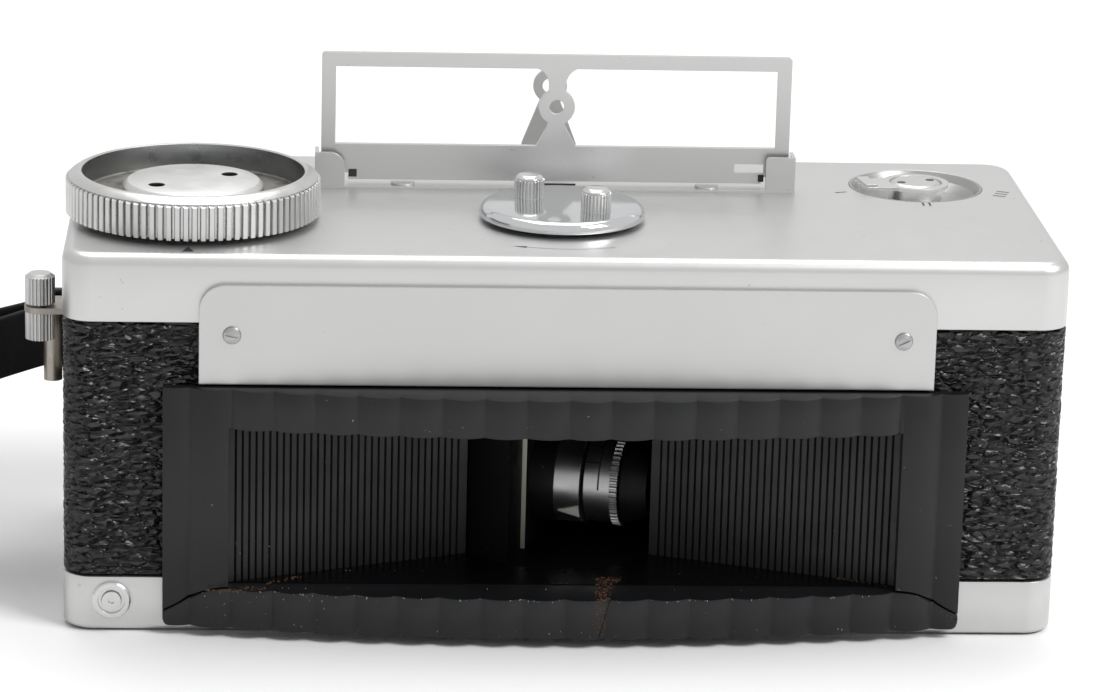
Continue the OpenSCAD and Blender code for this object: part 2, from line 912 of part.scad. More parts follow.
module back_door() {
  color(black) {
    upright(rear_y - inner, rear_y - leather_t) door_outline();
    difference() {
      union() {
        upright(rear_y, rear_y + leaf_t)
          translate([-leaf_half, base_h + gap]) square([2 * leaf_half, leaf_up]);
        for (k = [-1, 1])
          rod_x(hinge_y, hinge_z, hinge_r, (k - 0.5) * knuckle + seam, (k + 0.5) * knuckle - seam);
      }
      for (k = [-2, 0, 2])
        translate([(k - 0.5) * knuckle - seam, rear_y - 0.1, hinge_z - hinge_cut])
          cube([knuckle + 2 * seam, 4 * hinge_r, hinge_cut + hinge_r + hinge_room]);
      rod_x(hinge_y, hinge_z, hinge_pin_r + run, -leaf_half - over, leaf_half + over);
    }
    upright(rear_y, rear_y + pull_out)
      translate([-pull_w / 2, top_z - pull_drop]) square([pull_w, pull_h]);
  }
}

module leather_back() {
  color(hide)
    upright(rear_y - leather_t, rear_y) door_outline();
}

module back_hinge_leaf() {
  color(steel)
    difference() {
      union() {
        upright(rear_y, rear_y + leaf_t)
          translate([-leaf_half, leaf_low]) square([2 * leaf_half, base_h - leaf_low]);
        for (k = [-2, 0, 2])
          rod_x(hinge_y, hinge_z, hinge_r, (k - 0.5) * knuckle, (k + 0.5) * knuckle);
      }
      for (k = [-1, 1])
        translate([(k - 0.5) * knuckle, rear_y - 0.1, hinge_z - hinge_r - hinge_room])
          cube([knuckle, 4 * hinge_r, hinge_cut + hinge_r]);
      rod_x(hinge_y, hinge_z, hinge_pin_r, -leaf_half - over, leaf_half + over);
    }
}

module back_hinge_pin() {
  color(steel)
    rod_x(hinge_y, hinge_z, hinge_pin_r, -leaf_half - hinge_pin_over, leaf_half + hinge_pin_over);
}

// Bent spring with a roller that holds the top of the door
module back_catch() {
  color(steel)
    translate([-catch_w / 2, rear_y - inner - catch_back, deck_top]) {
      cube([catch_w, catch_foot, catch_foot_t]);
      cube([catch_w, catch_t, catch_h]);
      translate([0, 0, catch_h - catch_t]) cube([catch_w, catch_back - gap - catch_r, catch_t]);
      rod_x(catch_back - gap - catch_r, catch_h - catch_t + catch_r, catch_r, 0, catch_w);
    }
}

module name_plate() {
  color(satin)
    difference() {
      upright(front_y - plate_t, front_y) {
        translate([-plate_w / 2, plate_top - plate_h]) square([plate_w, plate_h - plate_corner]);
        translate([-plate_w / 2 + plate_corner, plate_top - plate_corner])
          square([plate_w - 2 * plate_corner, plate_corner]);
        for (sx = [-1, 1])
          translate([sx * (plate_w / 2 - plate_corner), plate_top - plate_corner]) circle(r = plate_corner);
      }
      for (sx = [-1, 1])
        rod_y(sx * plate_screws / 2, plate_top - plate_h / 2, plate_screw_r,
          front_y - plate_t - over, front_y + over);
    }
}

module name_plate_screws() {
  color(bright)
    for (sx = [-1, 1])
      translate([sx * plate_screws / 2, front_y - plate_t, plate_top - plate_h / 2])
        rotate([90, 0, 0]) difference() {
          rotate_extrude()
            polygon([
              [0, -plate_t], [plate_screw_r, -plate_t], [plate_screw_r, 0], [plate_head_r, 0],
              [0.88 * plate_head_r, 0.55 * plate_head_h], [plate_head_r / 2, 0.9 * plate_head_h],
              [0, plate_head_h]
            ]);
          rotate([0, 0, sx * 20 + 5]) translate([-plate_head_r - over, -plate_slot_w / 2, plate_slot_z])
            cube([2 * (plate_head_r + over), plate_slot_w, plate_head_h]);
        }
}

// Plan of the horn's lips: convex in front, with upright rounded flutes that meet in notches
module lip_plan() {
  intersection() {
    translate([0, lip_y + lip_r]) {
      circle(r = lip_r - 2 * flute_depth, $fn = 240);
      for (i = [(1 - flute_n) / 2:(flute_n - 1) / 2])
        rotate(i * flute_pitch / lip_r * 180 / PI) translate([0, flute_r - lip_r]) circle(r = flute_r);
    }
    translate([-lip_half, lip_y - over]) square([2 * lip_half, front_y - seam - lip_y + over]);
  }
}

module horn_frame() {
  color(anodised)
    intersection() {
      linear_extrude(brow_z) lip_plan();
      upright(lip_y - over, front_y) difference() {
        polygon(concat(
          [[-lip_half, brow_z], [lip_half, brow_z]],
          reversed(split_line(lip_half)), reversed(mirrored(split_line(lip_half)))
        ));
        translate([-mouth, 0]) square([mouth_w, roof_z]);
      }
    }
}

module horn_lower_lip() {
  parting = lowered(split_line(lip_half), seam);
  underside = [[lip_half, lip_bottom_z + lip_ease], [lip_half - lip_ease, lip_bottom_z]];
  color(anodised)
    intersection() {
      linear_extrude(brow_z) lip_plan();
      upright(lip_y - over, front_y)
        polygon(concat(parting, underside, mirrored(underside), mirrored(parting)));
    }
}

// Right-hand side wall of the horn in plan, grooved on the side that faces the mouth
function groove(i) = [
  for (k = [-1:1])
    let (along_wall = (i + 1) * rib_pitch + k * groove_w / 2, deep = k == 0 ? rib_depth : 0)
    [mouth, front_y] + wall_dir * along_wall + wall_in * deep
];
module horn_wall() {
  translate([0, 0, horn_floor_z]) linear_extrude(mouth_h) difference() {
    polygon(concat(
      [[jamb - seam, front_y], [mouth, front_y]],
      [for (i = [0:rib_n - 1]) each groove(i)],
      [[neck, neck_y], [neck, neck_y] + wall_in * horn_wall_t],
      [[mouth, front_y] + wall_dir * wall_foot + wall_in * horn_wall_t],
      [[jamb - seam, front_y + inner - seam]]
    ));
    translate([0, turret_y]) circle(r = neck_r);
  }
}

module horn_right_wall() {
  color(black) horn_wall();
}

module horn_left_wall() {
  color(black) mirror([1, 0, 0]) horn_wall();
}

module horn_floor() {
  color(black)
    translate([0, 0, drum_z]) linear_extrude(horn_floor_t) difference() {
      polygon([
        [-jamb + seam, front_y], [jamb - seam, front_y], [jamb - seam, front_y + inner],
        [neck + wall_foot, neck_y + seam], [-neck - wall_foot, neck_y + seam], [seam - jamb, front_y + inner]
      ]);
      translate([0, turret_y]) circle(r = neck_r);
    }
}

// Hollow drum cut flat in front, with a full disc below and above
module turret_drum() {
  bulkhead_half = sqrt(drum_r * drum_r - bulkhead_y * bulkhead_y) - bulkhead_in;
  color(black)
    in_turret() difference() {
      union() {
        rod_z(0, 0, drum_r, drum_z, drum_z + disc_wall);
        rod_z(0, 0, drum_r, drum_top - disc_wall, drum_top);
        rod_z(0, 0, pivot_r, floor_z + gap, drum_z + disc_wall);
        intersection() {
          difference() {
            rod_z(0, 0, drum_r, drum_z, drum_top);
            rod_z(0, 0, drum_r - drum_wall, drum_z + disc_wall, drum_top - disc_wall);
          }
          translate([-drum_r, bulkhead_y, drum_z]) cube([2 * drum_r, drum_r, drum_top - drum_z]);
        }
        translate([-bulkhead_half, bulkhead_y, drum_z])
          cube([2 * bulkhead_half, bulkhead_t, drum_top - drum_z]);
      }
      rod_z(0, 0, turret_shaft_r, drum_top - disc_wall - over, drum_top + over);
      rod_y(0, lens_z, barrel_r + barrel_step, bulkhead_y - over, bulkhead_y + bulkhead_t + over);
      translate([-slit_w / 2 - seam / 2, drum_r - slit_seat - over, lens_z - slit_h / 2 - seam / 2])
        cube([slit_w + seam, slit_seat + 2 * over, slit_h + seam]);
    }
}

module slit_tube() {
  color(black)
    in_turret() difference() {
      intersection() {
        translate([-slit_w / 2, drum_r - slit_seat, lens_z - slit_h / 2]) cube([slit_w, slit_end, slit_h]);
        rod_z(0, 0, slit_end, 0, body_h);
      }
      translate([slit_wall - slit_w / 2, drum_r - slit_seat - over, lens_z - frame_h / 2])
        cube([slit_w - 2 * slit_wall, slit_throat, frame_h]);
      translate([-slit_gap / 2, drum_r, lens_z - frame_h / 2]) cube([slit_gap, film_r, frame_h]);
    }
}

module lens_plate() {
  color(bright)
    in_turret() difference() {
      upright(plate_back, bulkhead_y)
        translate([-lens_plate_w / 2, drum_z + disc_wall + seam])
          square([lens_plate_w, 2 * (lens_z - drum_z - disc_wall - seam)]);
      rod_y(0, lens_z, barrel_r + barrel_step, plate_back - over, bulkhead_y + over);
    }
}

module lens_barrel() {
  color(black)
    on_lens_axis() rotate_extrude()
      polygon([
        [glass_r, -bulkhead_y - tail_len], [barrel_r + barrel_step, -bulkhead_y - tail_len],
        [barrel_r + barrel_step, -plate_back], [index_r + flange_step, -plate_back],
        [index_r + flange_step, index_start], [barrel_r, index_start], [barrel_r, cell_start],
        [glass_r, cell_start]
      ]);
}

module index_ring() {
  color(bright)
    on_lens_axis() {
      lens_ring(index_start, index_end, index_r, barrel_r);
      rotate([0, 0, pointer_turn]) translate([index_r - 2 * pointer_rise, 0, index_end - pointer_in])
        rotate([0, 90, 0]) linear_extrude(3 * pointer_rise)
          polygon([[0, -pointer_w / 2], [pointer_len, 0], [0, pointer_w / 2]]);
    }
}

module aperture_ring() {
  color(bright)
    on_lens_axis() difference() {
      union() {
        translate([0, 0, scale_start]) cylinder(r = scale_r, h = knurl_end - scale_start);
        translate([0, 0, knurl_start]) knurled(scale_r + knurl_rise, knurl_depth, knurl_n, knurl_w);
      }
      translate([0, 0, scale_start - over])
        cylinder(r = barrel_r + run, h = knurl_end - scale_start + 2 * over);
    }
}

module front_cell() {
  color(black)
    on_lens_axis() rotate_extrude()
      polygon([
        [glass_r, cell_start], [scale_r - cell_step, cell_start],
        [scale_r - cell_step, cell_start + cell_band], [glass_r + cell_lip + cell_rim, cell_end],
        [glass_r + cell_lip, cell_end], [glass_r, cell_end - cell_sink]
      ]);
}

// Two elements with curved faces
module lens_glass() {
  color(clear)
    on_lens_axis()
      for (at = [[cell_start, front_glass_t], [rear_glass_in - bulkhead_y - tail_len, rear_glass_t]])
        translate([0, 0, at[0]]) rotate_extrude()
          intersection() {
            square([glass_r, glass_r + at[1]]);
            translate([0, at[1] + glass_bow - glass_curve]) circle(r = glass_curve);
          }
}

module turret_shaft() {
  color(steel)
    in_turret() {
      rod_z(0, 0, turret_shaft_r, drum_top - disc_wall - shaft_step, body_h + disc_lift);
      rod_z(0, 0, bulkhead_y - seam, drum_top - disc_wall - shaft_step, drum_top - disc_wall);
    }
}

module lower_bearing() {
  color(brass) tube_z(0, turret_y, bearing_r, pivot_r + run, floor_z, drum_z - gap);
}

module spring_barrel() {
  color(brass)
    difference() {
      rod_z(0, turret_y, barrel_out, deck_top, barrel_top);
      rod_z(0, turret_y, barrel_out - barrel_wall, deck_top + barrel_wall, barrel_top + over);
      rod_z(0, turret_y, turret_shaft_r + gap, deck_top - over, barrel_top);
    }
}

// Flat spiral ribbon from the shaft to the barrel's wall
spring_steps = 24 * spring_turns;
spring_grow = barrel_out - barrel_wall - 2 * gap - turret_shaft_r;
function spiral(side) = [
  for (i = [0:spring_steps])
    polar(turret_shaft_r + (1 + side) * spring_t / 2 + spring_grow * i / spring_steps, 15 * i)
];
module drive_spring() {
  color(steel)
    translate([0, turret_y, deck_top + barrel_wall + gap]) linear_extrude(barrel_h - 2 * barrel_wall)
      polygon(concat(spiral(-1), reversed(spiral(1))));
}

module turret_gear() {
  color(brass)
    translate([0, turret_y, gear_z]) difference() {
      linear_extrude(gear_t) rotate(governor_turn)
        polygon(gear_points(gear_teeth, gear_r - tooth_down, gear_r + tooth_up, 0.6, 0.25));
      translate([0, 0, -over]) cylinder(r = turret_shaft_r, h = gear_t + 2 * over);
    }
}

module governor_pinion() {
  color(steel)
    translate([governor_x, governor_y, gear_z - pinion_over]) difference() {
      union() {
        linear_extrude(gear_t + 2 * pinion_over) rotate(governor_turn + 180 + 180 / pinion_teeth)
          polygon(gear_points(pinion_teeth, pinion_r - tooth_down, pinion_r + tooth_up, 0.55, 0.2));
        cylinder(r = pinion_hub_r, h = gear_t + pinion_hub_h);
      }
      translate([0, 0, -over]) cylinder(r = stud_r + run, h = gear_t + pinion_hub_h + 2 * over);
    }
}

module governor_flywheel() {
  color(brass)
    translate([governor_x, governor_y, flywheel_z]) difference() {
      cylinder(r = flywheel_r, h = flywheel_t);
      translate([0, 0, -over]) cylinder(r = stud_r + run, h = flywheel_t + 2 * over);
      for (a = [0:60:300])
        rotate(a) translate([flywheel_hole_out, 0, -over])
          cylinder(r = flywheel_hole_r, h = flywheel_t + 2 * over);
    }
}

module cocking_disc() {
  color(bright)
    translate([0, turret_y, body_h + disc_lift]) rotate_extrude($fn = 96) {
      square([disc_r - disc_ease, disc_t]);
      square([disc_r, disc_t - disc_ease]);
      translate([disc_r - disc_ease, disc_t - disc_ease]) intersection() {
        circle(r = disc_ease);
        square(disc_ease);
      }
    }
}

module cocking_posts() {
  color(bright)
    for (a = [post_turn, post_turn - 180])
      translate([post_out * cos(a), turret_y + post_out * sin(a), body_h + disc_lift + disc_t]) {
        knurled(post_r, post_knurl, post_ribs, post_h - post_ease);
        translate([0, 0, post_h - post_ease])
          cylinder(r1 = post_r - post_step, r2 = post_r - post_ease, h = post_ease);
      }
}

module wind_knob() {
  color(satin)
    translate([knob_x, knob_y, knob_z]) difference() {
      union() {
        knurled(knob_r, knob_rib_depth, knob_ribs, knob_h - knob_ease);
        translate([0, 0, knob_h - knob_ease])
          cylinder(r1 = knob_r - knob_step, r2 = knob_r - knob_ease, h = knob_ease, $fn = 96);
      }
      translate([0, 0, knob_h - knob_recess]) cylinder(r = knob_recess_r, h = knob_h, $fn = 96);
      translate([0, 0, -over]) cylinder(r = wind_shaft_r, h = knob_h);
    }
}

module wind_cap() {
  color(steel)
    translate([knob_x, knob_y, cap_z]) difference() {
      rotate_extrude($fn = 72)
        polygon([[0, 0], [cap_r, 0], [cap_r, cap_h - cap_ease], [cap_r - cap_ease, cap_h], [0, cap_h]]);
      for (s = [-1, 1])
        translate([s * cap_hole_x, s * cap_hole_y, cap_web]) cylinder(r = cap_hole_r, h = cap_h);
    }
}

module wind_shaft() {
  color(steel) {
    rod_z(knob_x, knob_y, wind_shaft_r, spool_z + spool_flange, cap_z);
    translate([knob_x, knob_y, deck_top + gap]) linear_extrude(ratchet_t)
      polygon([
        for (i = [0:ratchet_teeth - 1], k = [0, 1])
          polar(ratchet_r - k * ratchet_depth, 360 / ratchet_teeth * i + k)
      ]);
  }
}

module take_up_spool() {
  color(black)
    difference() {
      union() {
        rod_z(knob_x, knob_y, spool_r, spool_z, spool_z + spool_flange);
        rod_z(knob_x, knob_y, spool_r, spool_top - spool_flange, spool_top);
        rod_z(knob_x, knob_y, spool_core_r, spool_z, spool_top);
      }
      rod_z(knob_x, knob_y, wind_shaft_r, spool_z + spool_flange, spool_top + over);
    }
}

module ratchet_pawl() {
  color(steel) {
    rod_z(knob_x + pawl_x, knob_y + pawl_y, pawl_r, deck_top, deck_top + pawl_h);
    translate([knob_x + pawl_tip, knob_y, deck_top + gap])
      rotate([0, 0, atan2(pawl_y, pawl_x - pawl_tip)])
        cube([norm([pawl_x - pawl_tip, pawl_y]), pawl_t, ratchet_t]);
  }
}

// Front of an ear, from its outer edge, with the inner top corner rounded
module ear_front(r) {
  difference() {
    square([ear_w, ear_h]);
    translate([ear_w - r, ear_h - r]) difference() {
      square(r + over);
      circle(r = r);
    }
  }
}

module finder_base() {
  color(satin) {
    translate([-ear_side - ear_t, ear_y, body_h]) cube([2 * (ear_side + ear_t), ear_d, foot_t]);
    upright(ear_y, ear_y + ear_t) {
      translate([-ear_side - ear_t, body_h]) ear_front(ear_round);
      mirror([1, 0]) translate([-ear_side - ear_t, body_h]) ear_front(ear_ease);
    }
    for (sx = [-1, 1])
      difference() {
        translate([sx > 0 ? ear_side : -ear_side - ear_t, ear_y, body_h]) cube([ear_t, ear_d, ear_h]);
        rod_x(finder_y, finder_z, finder_pin_r, sx * ear_side - ear_t - over, sx * ear_side + ear_t + over);
      }
  }
}

module finder_screws() {
  foot_top = body_h + foot_t;
  color(steel)
    for (sx = [-1, 1]) {
      rod_z(sx * finder_screw_x, finder_screw_y, finder_screw_r, foot_top, foot_top + finder_screw_t);
      rod_z(sx * sight_screw_x, sight_screw_y, sight_screw_r, foot_top, foot_top + sight_screw_t);
    }
}

module pivot_pins() {
  color(steel) {
    for (sx = [-1, 1])
      rod_x(finder_y, finder_z, finder_pin_r, sx > 0 ? finder_half - finder_pin_in : -ear_side - ear_t,
        sx > 0 ? ear_side + ear_t : finder_pin_in - finder_half);
    rod_x(sight_y, sight_z, sight_pin_r, sight_pin_short - sight_half - sight_ear_w,
      sight_half + sight_ear_w - sight_pin_short);
  }
}

module finder_outline() {
  difference() {
    union() {
      difference() {
        union() {
          translate([-finder_half, finder_low]) square([finder_w, finder_h - finder_round]);
          translate([finder_round - finder_half, finder_low]) square([finder_w - 2 * finder_round, finder_h]);
          for (sx = [-1, 1])
            translate([sx * (finder_half - finder_round), finder_top - finder_round]) circle(r = finder_round);
        }
        translate([finder_rail - finder_half, window_low])
          square([finder_w - 2 * finder_rail, window_top - window_low]);
      }
      translate([-post_half, window_low - post_sink]) square([2 * post_half, finder_top - window_low]);
      translate([0, disc_z]) circle(r = sight_disc_r);
      polygon([
        [-post_foot, window_low - post_sink], [post_foot, window_low - post_sink], [post_foot, window_low],
        [post_half, window_low + post_foot_h], [-post_half, window_low + post_foot_h],
        [-post_foot, window_low]
      ]);
      difference() {
        translate([-post_half - flare, window_top - flare_drop])
          square([2 * (post_half + flare), flare_drop + post_sink]);
        for (sx = [-1, 1])
          translate([sx * (post_half + flare), window_top - flare_drop]) circle(r = flare);
      }
    }
    translate([0, disc_z]) circle(r = disc_hole_r);
    translate([finder_half - slot_in, finder_low + slot_up]) square([slot_w, slot_h]);
    for (sx = [-1, 1])
      translate([sx * (finder_half - notch_in) - notch_half, finder_low - over])
        square([2 * notch_half, over + finder_z - finder_low - finder_knuckle_r]);
  }
}

module finder_frame() {
  color(satin)
    difference() {
      union() {
        upright(finder_y - finder_t / 2, finder_y + finder_t / 2) finder_outline();
        for (sx = [-1, 1])
          rod_x(finder_y, finder_z, finder_knuckle_r, sx > 0 ? finder_half - finder_rail : -finder_half,
            sx > 0 ? finder_half : finder_rail - finder_half);
      }
      rod_x(finder_y, finder_z, finder_pin_r + run, finder_half - finder_rail - over, finder_half + over);
      rod_x(finder_y, finder_z, finder_pin_r + run, -finder_half - over, finder_rail - finder_half + over);
    }
}

module sight_base() {
  color(satin)
    difference() {
      union() {
        translate([-sight_half - sight_ear_w, sight_y - sight_base_d, body_h])
          cube([2 * (sight_half + sight_ear_w), sight_base_d, foot_t]);
        for (sx = [-1, 1])
          rod_x(sight_y, sight_z, sight_ear_r, sx > 0 ? sight_half + gap : -sight_half - sight_ear_w,
            sx > 0 ? sight_half + sight_ear_w : -sight_half - gap);
      }
      translate([-sight_half - gap, sight_y - sight_slot_d, body_h - over])
        cube([2 * (sight_half + gap), sight_base_d, 2 * over + sight_lift]);
      rod_x(sight_y, sight_z, sight_pin_r, -sight_foot_w, sight_foot_w);
    }
}

module rear_sight() {
  color(satin)
    difference() {
      union() {
        upright(sight_y - sight_t / 2, sight_y + sight_t / 2) {
          polygon([
            [-sight_half, sight_z], [sight_half, sight_z], [sight_half, sight_z + sight_foot_h],
            [sight_neck_half, sight_z + sight_h - sight_neck_drop],
            [-sight_neck_half, sight_z + sight_h - sight_neck_drop], [-sight_half, sight_z + sight_foot_h]
          ]);
          translate([0, sight_z + sight_h]) circle(r = sight_ring_r);
        }
        rod_x(sight_y, sight_z, sight_knuckle_r, -sight_half, sight_half);
      }
      rod_y(0, sight_z + sight_h, sight_hole_r, sight_y - sight_t - over, sight_y + sight_t + over);
      rod_x(sight_y, sight_z, sight_pin_r + run, -sight_foot_w, sight_foot_w);
    }
}

module speed_dish() {
  color(satin)
    translate([dish_x, dish_y, body_h]) rotate_extrude($fn = 72)
      polygon([
        [speed_shaft_r + run, -dish_depth - dish_t], [dish_r - 4 * dish_t, -dish_depth - dish_t],
        [dish_r, -cover_t], [dish_r, 0], [dish_r - dish_rim, 0],
        for (k = [[0.2, 0.38], [0.57, 0.79], [1, 1]])
          [dish_r - dish_rim - k[0] * dish_bowl, -k[1] * dish_depth],
        [speed_shaft_r + run, -dish_depth]
      ]);
}

module speed_hub() {
  color(bright)
    translate([dish_x, dish_y, 0]) {
      difference() {
        union() {
          translate([0, 0, dish_floor + gap]) cylinder(r = hub_r, h = hub_top - hub_ease - dish_floor - gap);
          translate([0, 0, hub_top - hub_ease]) cylinder(r1 = hub_r, r2 = hub_r - hub_step, h = hub_ease);
        }
        for (s = [-1, 1])
          rotate(20) translate([s * hub_hole_out, 0, hub_top - hub_hole_deep])
            cylinder(r = hub_hole_r, h = hub_hole_deep + over);
      }
      translate([0, 0, cam_z]) cylinder(r = speed_shaft_r, h = dish_floor + gap - cam_z);
      translate([cam_off, 0, cam_z]) cylinder(r = cam_r, h = cam_t);
    }
}

module speed_lever() {
  color(satin)
    translate([dish_x, dish_y, lever_low]) rotate(lever_turn) difference() {
      union() {
        linear_extrude(blade_t) {
          circle(r = hub_r + blade_ring);
          polygon([[0, -blade_root], [blade_end, -blade_tip], [blade_end, blade_tip], [0, blade_root]]);
          polygon([
            for (i = [0:blade_teeth])
              [blade_end + (i % 2) * blade_tooth, blade_tip * (2 * i / blade_teeth - 1)],
            [blade_end - grip_w, 0]
          ]);
        }
        translate([blade_end - grip_w, -blade_tip, 0]) cube([grip_w, 2 * blade_tip, grip_h]);
      }
      translate([0, 0, -over]) cylinder(r = hub_r, h = grip_h + 2 * over);
    }
}

module release_collar() {
  color(bright)
    translate([release_x, front_y, release_z]) rotate([-90, 0, 0]) rotate_extrude()
      polygon([
        [button_r + run, collar_sink - collar_h], [sleeve_r - collar_ease, collar_sink - collar_h],
        [sleeve_r - collar_ease, -collar_h], [collar_r - collar_ease, -collar_h],
        [collar_r, collar_ease - collar_h], [collar_r, 0], [sleeve_r, 0], [sleeve_r, inner],
        [button_r + run, inner]
      ]);
}

module release_button() {
  color(bright)
    difference() {
      union() {
        rod_y(release_x, release_z, button_r, front_y - button_out, button_end);
        rod_y(release_x, release_z, button_r + button_flange, front_y + inner + gap,
          front_y + inner + gap + button_flange_t);
      }
      rod_y(release_x, release_z, button_dimple_r, front_y - button_out - over,
        front_y - button_out + button_dimple);
    }
}

module lever_arm(end) {
  rotate(atan2(end.y, end.x)) translate([0, -lever_w / 2]) square([norm(end), lever_w]);
}

// Flat lever under the turret, from the button to a nose beside the drum's lower disc
module release_lever() {
  color(steel)
    difference() {
      union() {
        translate([crank_x, crank_y, lever_z]) linear_extrude(lever_t) {
          circle(r = lever_hub_r);
          lever_arm([push_x, push_y]);
          lever_arm([nose_x - crank_x, nose_y - crank_y]);
          translate([nose_x - crank_x, nose_y - crank_y]) circle(r = lever_w / 2);
        }
        rod_z(nose_x, nose_y, nose_r, lever_z, drum_z + disc_wall);
        rod_z(release_x, peg_y, peg_r, lever_z, release_z + peg_r);
      }
      rod_z(crank_x, crank_y, stud_r + run, lever_z - over, lever_z + lever_t + over);
    }
}

// Hairpin spring round the lever's stud: two and a half turns and two straight legs
coil_r = 1.7;
coil_wire = 0.2;
coil_leg = 6;
coil_rise = 0.07;
coil_steps = 20;
coil_at = [crank_x, crank_y, lever_z + lever_t + gap + coil_wire];
function coil_route() = concat(
  [coil_at + [coil_r, -coil_leg, 0]],
  [for (i = [0:coil_steps]) coil_at + [coil_r * cos(45 * i), coil_r * sin(45 * i), coil_rise * i]],
  [coil_at + [-coil_leg, coil_r * sin(45 * coil_steps), coil_rise * coil_steps]]
);
module release_spring() {
  section = wire_section(coil_wire, 6);
  path = coil_route();
  color(steel)
    polyhedron(
      points = swept(path, section),
      faces = concat(side_faces(len(path), 6), fan(0, 6, true), fan((len(path) - 1) * 6, 6, false))
    );
}

module side_bracket() {
  color(satin)
    difference() {
      union() {
        translate([-half_w - bracket_t, bracket_y - bracket_front, shelf_z - bracket_drop])
          cube([bracket_t, bracket_d, bracket_drop + shelf_t]);
        translate([thumb_x, bracket_y - boss_r, shelf_z]) cube([-half_w - thumb_x, 2 * boss_r, shelf_t]);
        translate([-half_w - shelf_w, bracket_y - boss_r, shelf_z]) cube([shelf_w, shelf_d, shelf_t]);
        rod_z(thumb_x, bracket_y, boss_r, shelf_z, shelf_z + shelf_t);
        rod_z(-half_w - rod_out, bracket_y + rod_back, rod_r, shelf_z - rod_drop, shelf_z);
      }
      rod_z(thumb_x, bracket_y, bolt_r + run, shelf_z - over, shelf_z + shelf_t + over);
    }
}

module bracket_screw() {
  color(satin)
    translate([thumb_x, bracket_y, shelf_z + shelf_t + gap]) {
      knurled(thumb_r, thumb_knurl, thumb_ribs, thumb_h);
      translate([0, 0, thumb_h])
        cylinder(r1 = thumb_r - thumb_knurl, r2 = thumb_r - thumb_ease - thumb_knurl, h = thumb_ease);
      rod_z(0, 0, bolt_r, nut_floor - nut_h - shelf_t - gap, 0);
    }
}

module bracket_nut() {
  color(satin)
    translate([thumb_x, bracket_y, shelf_z - nut_h]) difference() {
      knurled(thumb_r, thumb_knurl, thumb_ribs, nut_h);
      translate([0, 0, nut_floor - gap]) cylinder(r = bolt_r + run, h = nut_h + over);
    }
}

// Wire staple in the side wall, which the strap passes through
module strap_staple() {
  color(steel) {
    rod_z(staple_x, staple_y, staple_r, staple_z - staple_half, staple_z + staple_half);
    for (s = [-1, 1])
      rod_x(staple_y, staple_z + s * staple_half, staple_r, staple_x, -half_w);
    for (s = [-1, 1])
      translate([staple_x, staple_y, staple_z + s * staple_half]) sphere(r = staple_r);
  }
}

module wrist_strap() {
  section = strap_section(strap_t, strap_w, strap_ease);
  rings = len(strap_route);
  color(hide)
    polyhedron(
      points = swept(strap_route, section),
      faces = concat(side_faces(rings, 8), fan(0, 8, true), fan((rings - 1) * 8, 8, false))
    );
}

body_casting();
base_cover();
top_cover();
leather_wrap();
mechanism_plate();
film_gate();
tripod_bush();
base_screws();
back_door();
leather_back();
back_hinge_leaf();
back_hinge_pin();
back_catch();
name_plate();
name_plate_screws();
horn_frame();
horn_lower_lip();
horn_left_wall();
horn_right_wall();
horn_floor();
turret_drum();
slit_tube();
lens_plate();
lens_barrel();
index_ring();
aperture_ring();
front_cell();
lens_glass();
turret_shaft();
lower_bearing();
spring_barrel();
drive_spring();
turret_gear();
governor_pinion();
governor_flywheel();
cocking_disc();
cocking_posts();
wind_knob();
wind_cap();
wind_shaft();
take_up_spool();
ratchet_pawl();
finder_base();
finder_screws();
pivot_pins();
finder_frame();
sight_base();
rear_sight();
speed_dish();
speed_hub();
speed_lever();
release_collar();
release_button();
release_lever();
release_spring();
side_bracket();
bracket_screw();
bracket_nut();
strap_staple();
wrist_strap();
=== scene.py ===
import math

import bmesh
import bpy
import numpy as np
from mathutils import Matrix, Vector
from mathutils.kdtree import KDTree


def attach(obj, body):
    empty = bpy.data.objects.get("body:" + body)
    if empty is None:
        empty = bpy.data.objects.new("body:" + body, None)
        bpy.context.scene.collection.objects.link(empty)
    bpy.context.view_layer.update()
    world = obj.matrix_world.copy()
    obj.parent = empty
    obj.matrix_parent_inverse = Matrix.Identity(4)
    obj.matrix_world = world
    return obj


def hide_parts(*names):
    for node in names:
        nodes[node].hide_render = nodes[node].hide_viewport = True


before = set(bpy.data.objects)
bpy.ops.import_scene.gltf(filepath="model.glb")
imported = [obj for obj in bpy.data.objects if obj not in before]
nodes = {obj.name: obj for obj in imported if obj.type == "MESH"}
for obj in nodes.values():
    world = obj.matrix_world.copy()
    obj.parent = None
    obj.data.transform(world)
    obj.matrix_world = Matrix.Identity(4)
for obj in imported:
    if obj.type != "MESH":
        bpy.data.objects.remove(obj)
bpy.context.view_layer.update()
scene = bpy.context.scene
mm = 0.001
print("stage: frame loaded")

# Camera, fitted to the view in the photo
cameraView = {
    "place": (-0.036234, -0.568832, 0.194175), "yaw": 3.7045, "pitch": 15.9766, "roll": 1.555,
    "lens": 141.12, "sensor": 36, "near": 0.01, "far": 20,
}


def turned(angle, axis):
    return np.array(Matrix.Rotation(math.radians(angle), 3, axis))


def placeCamera(view):
    toView = np.array([[1, 0, 0], [0, 0, -1], [0, 1, 0]]) @ turned(view["yaw"], "Z")
    toView = turned(view["roll"], "Z") @ turned(view["pitch"], "X") @ toView
    axes = np.stack([toView[0], -toView[1], -toView[2]], axis=1)
    data = bpy.data.cameras.new("camera")
    data.lens = view["lens"]
    data.sensor_width = view["sensor"]
    data.clip_start = view["near"]
    data.clip_end = view["far"]
    obj = bpy.data.objects.new("camera", data)
    scene.collection.objects.link(obj)
    obj.matrix_world = Matrix.Translation(view["place"]) @ Matrix(axes.tolist()).to_4x4()
    scene.camera = obj


placeCamera(cameraView)


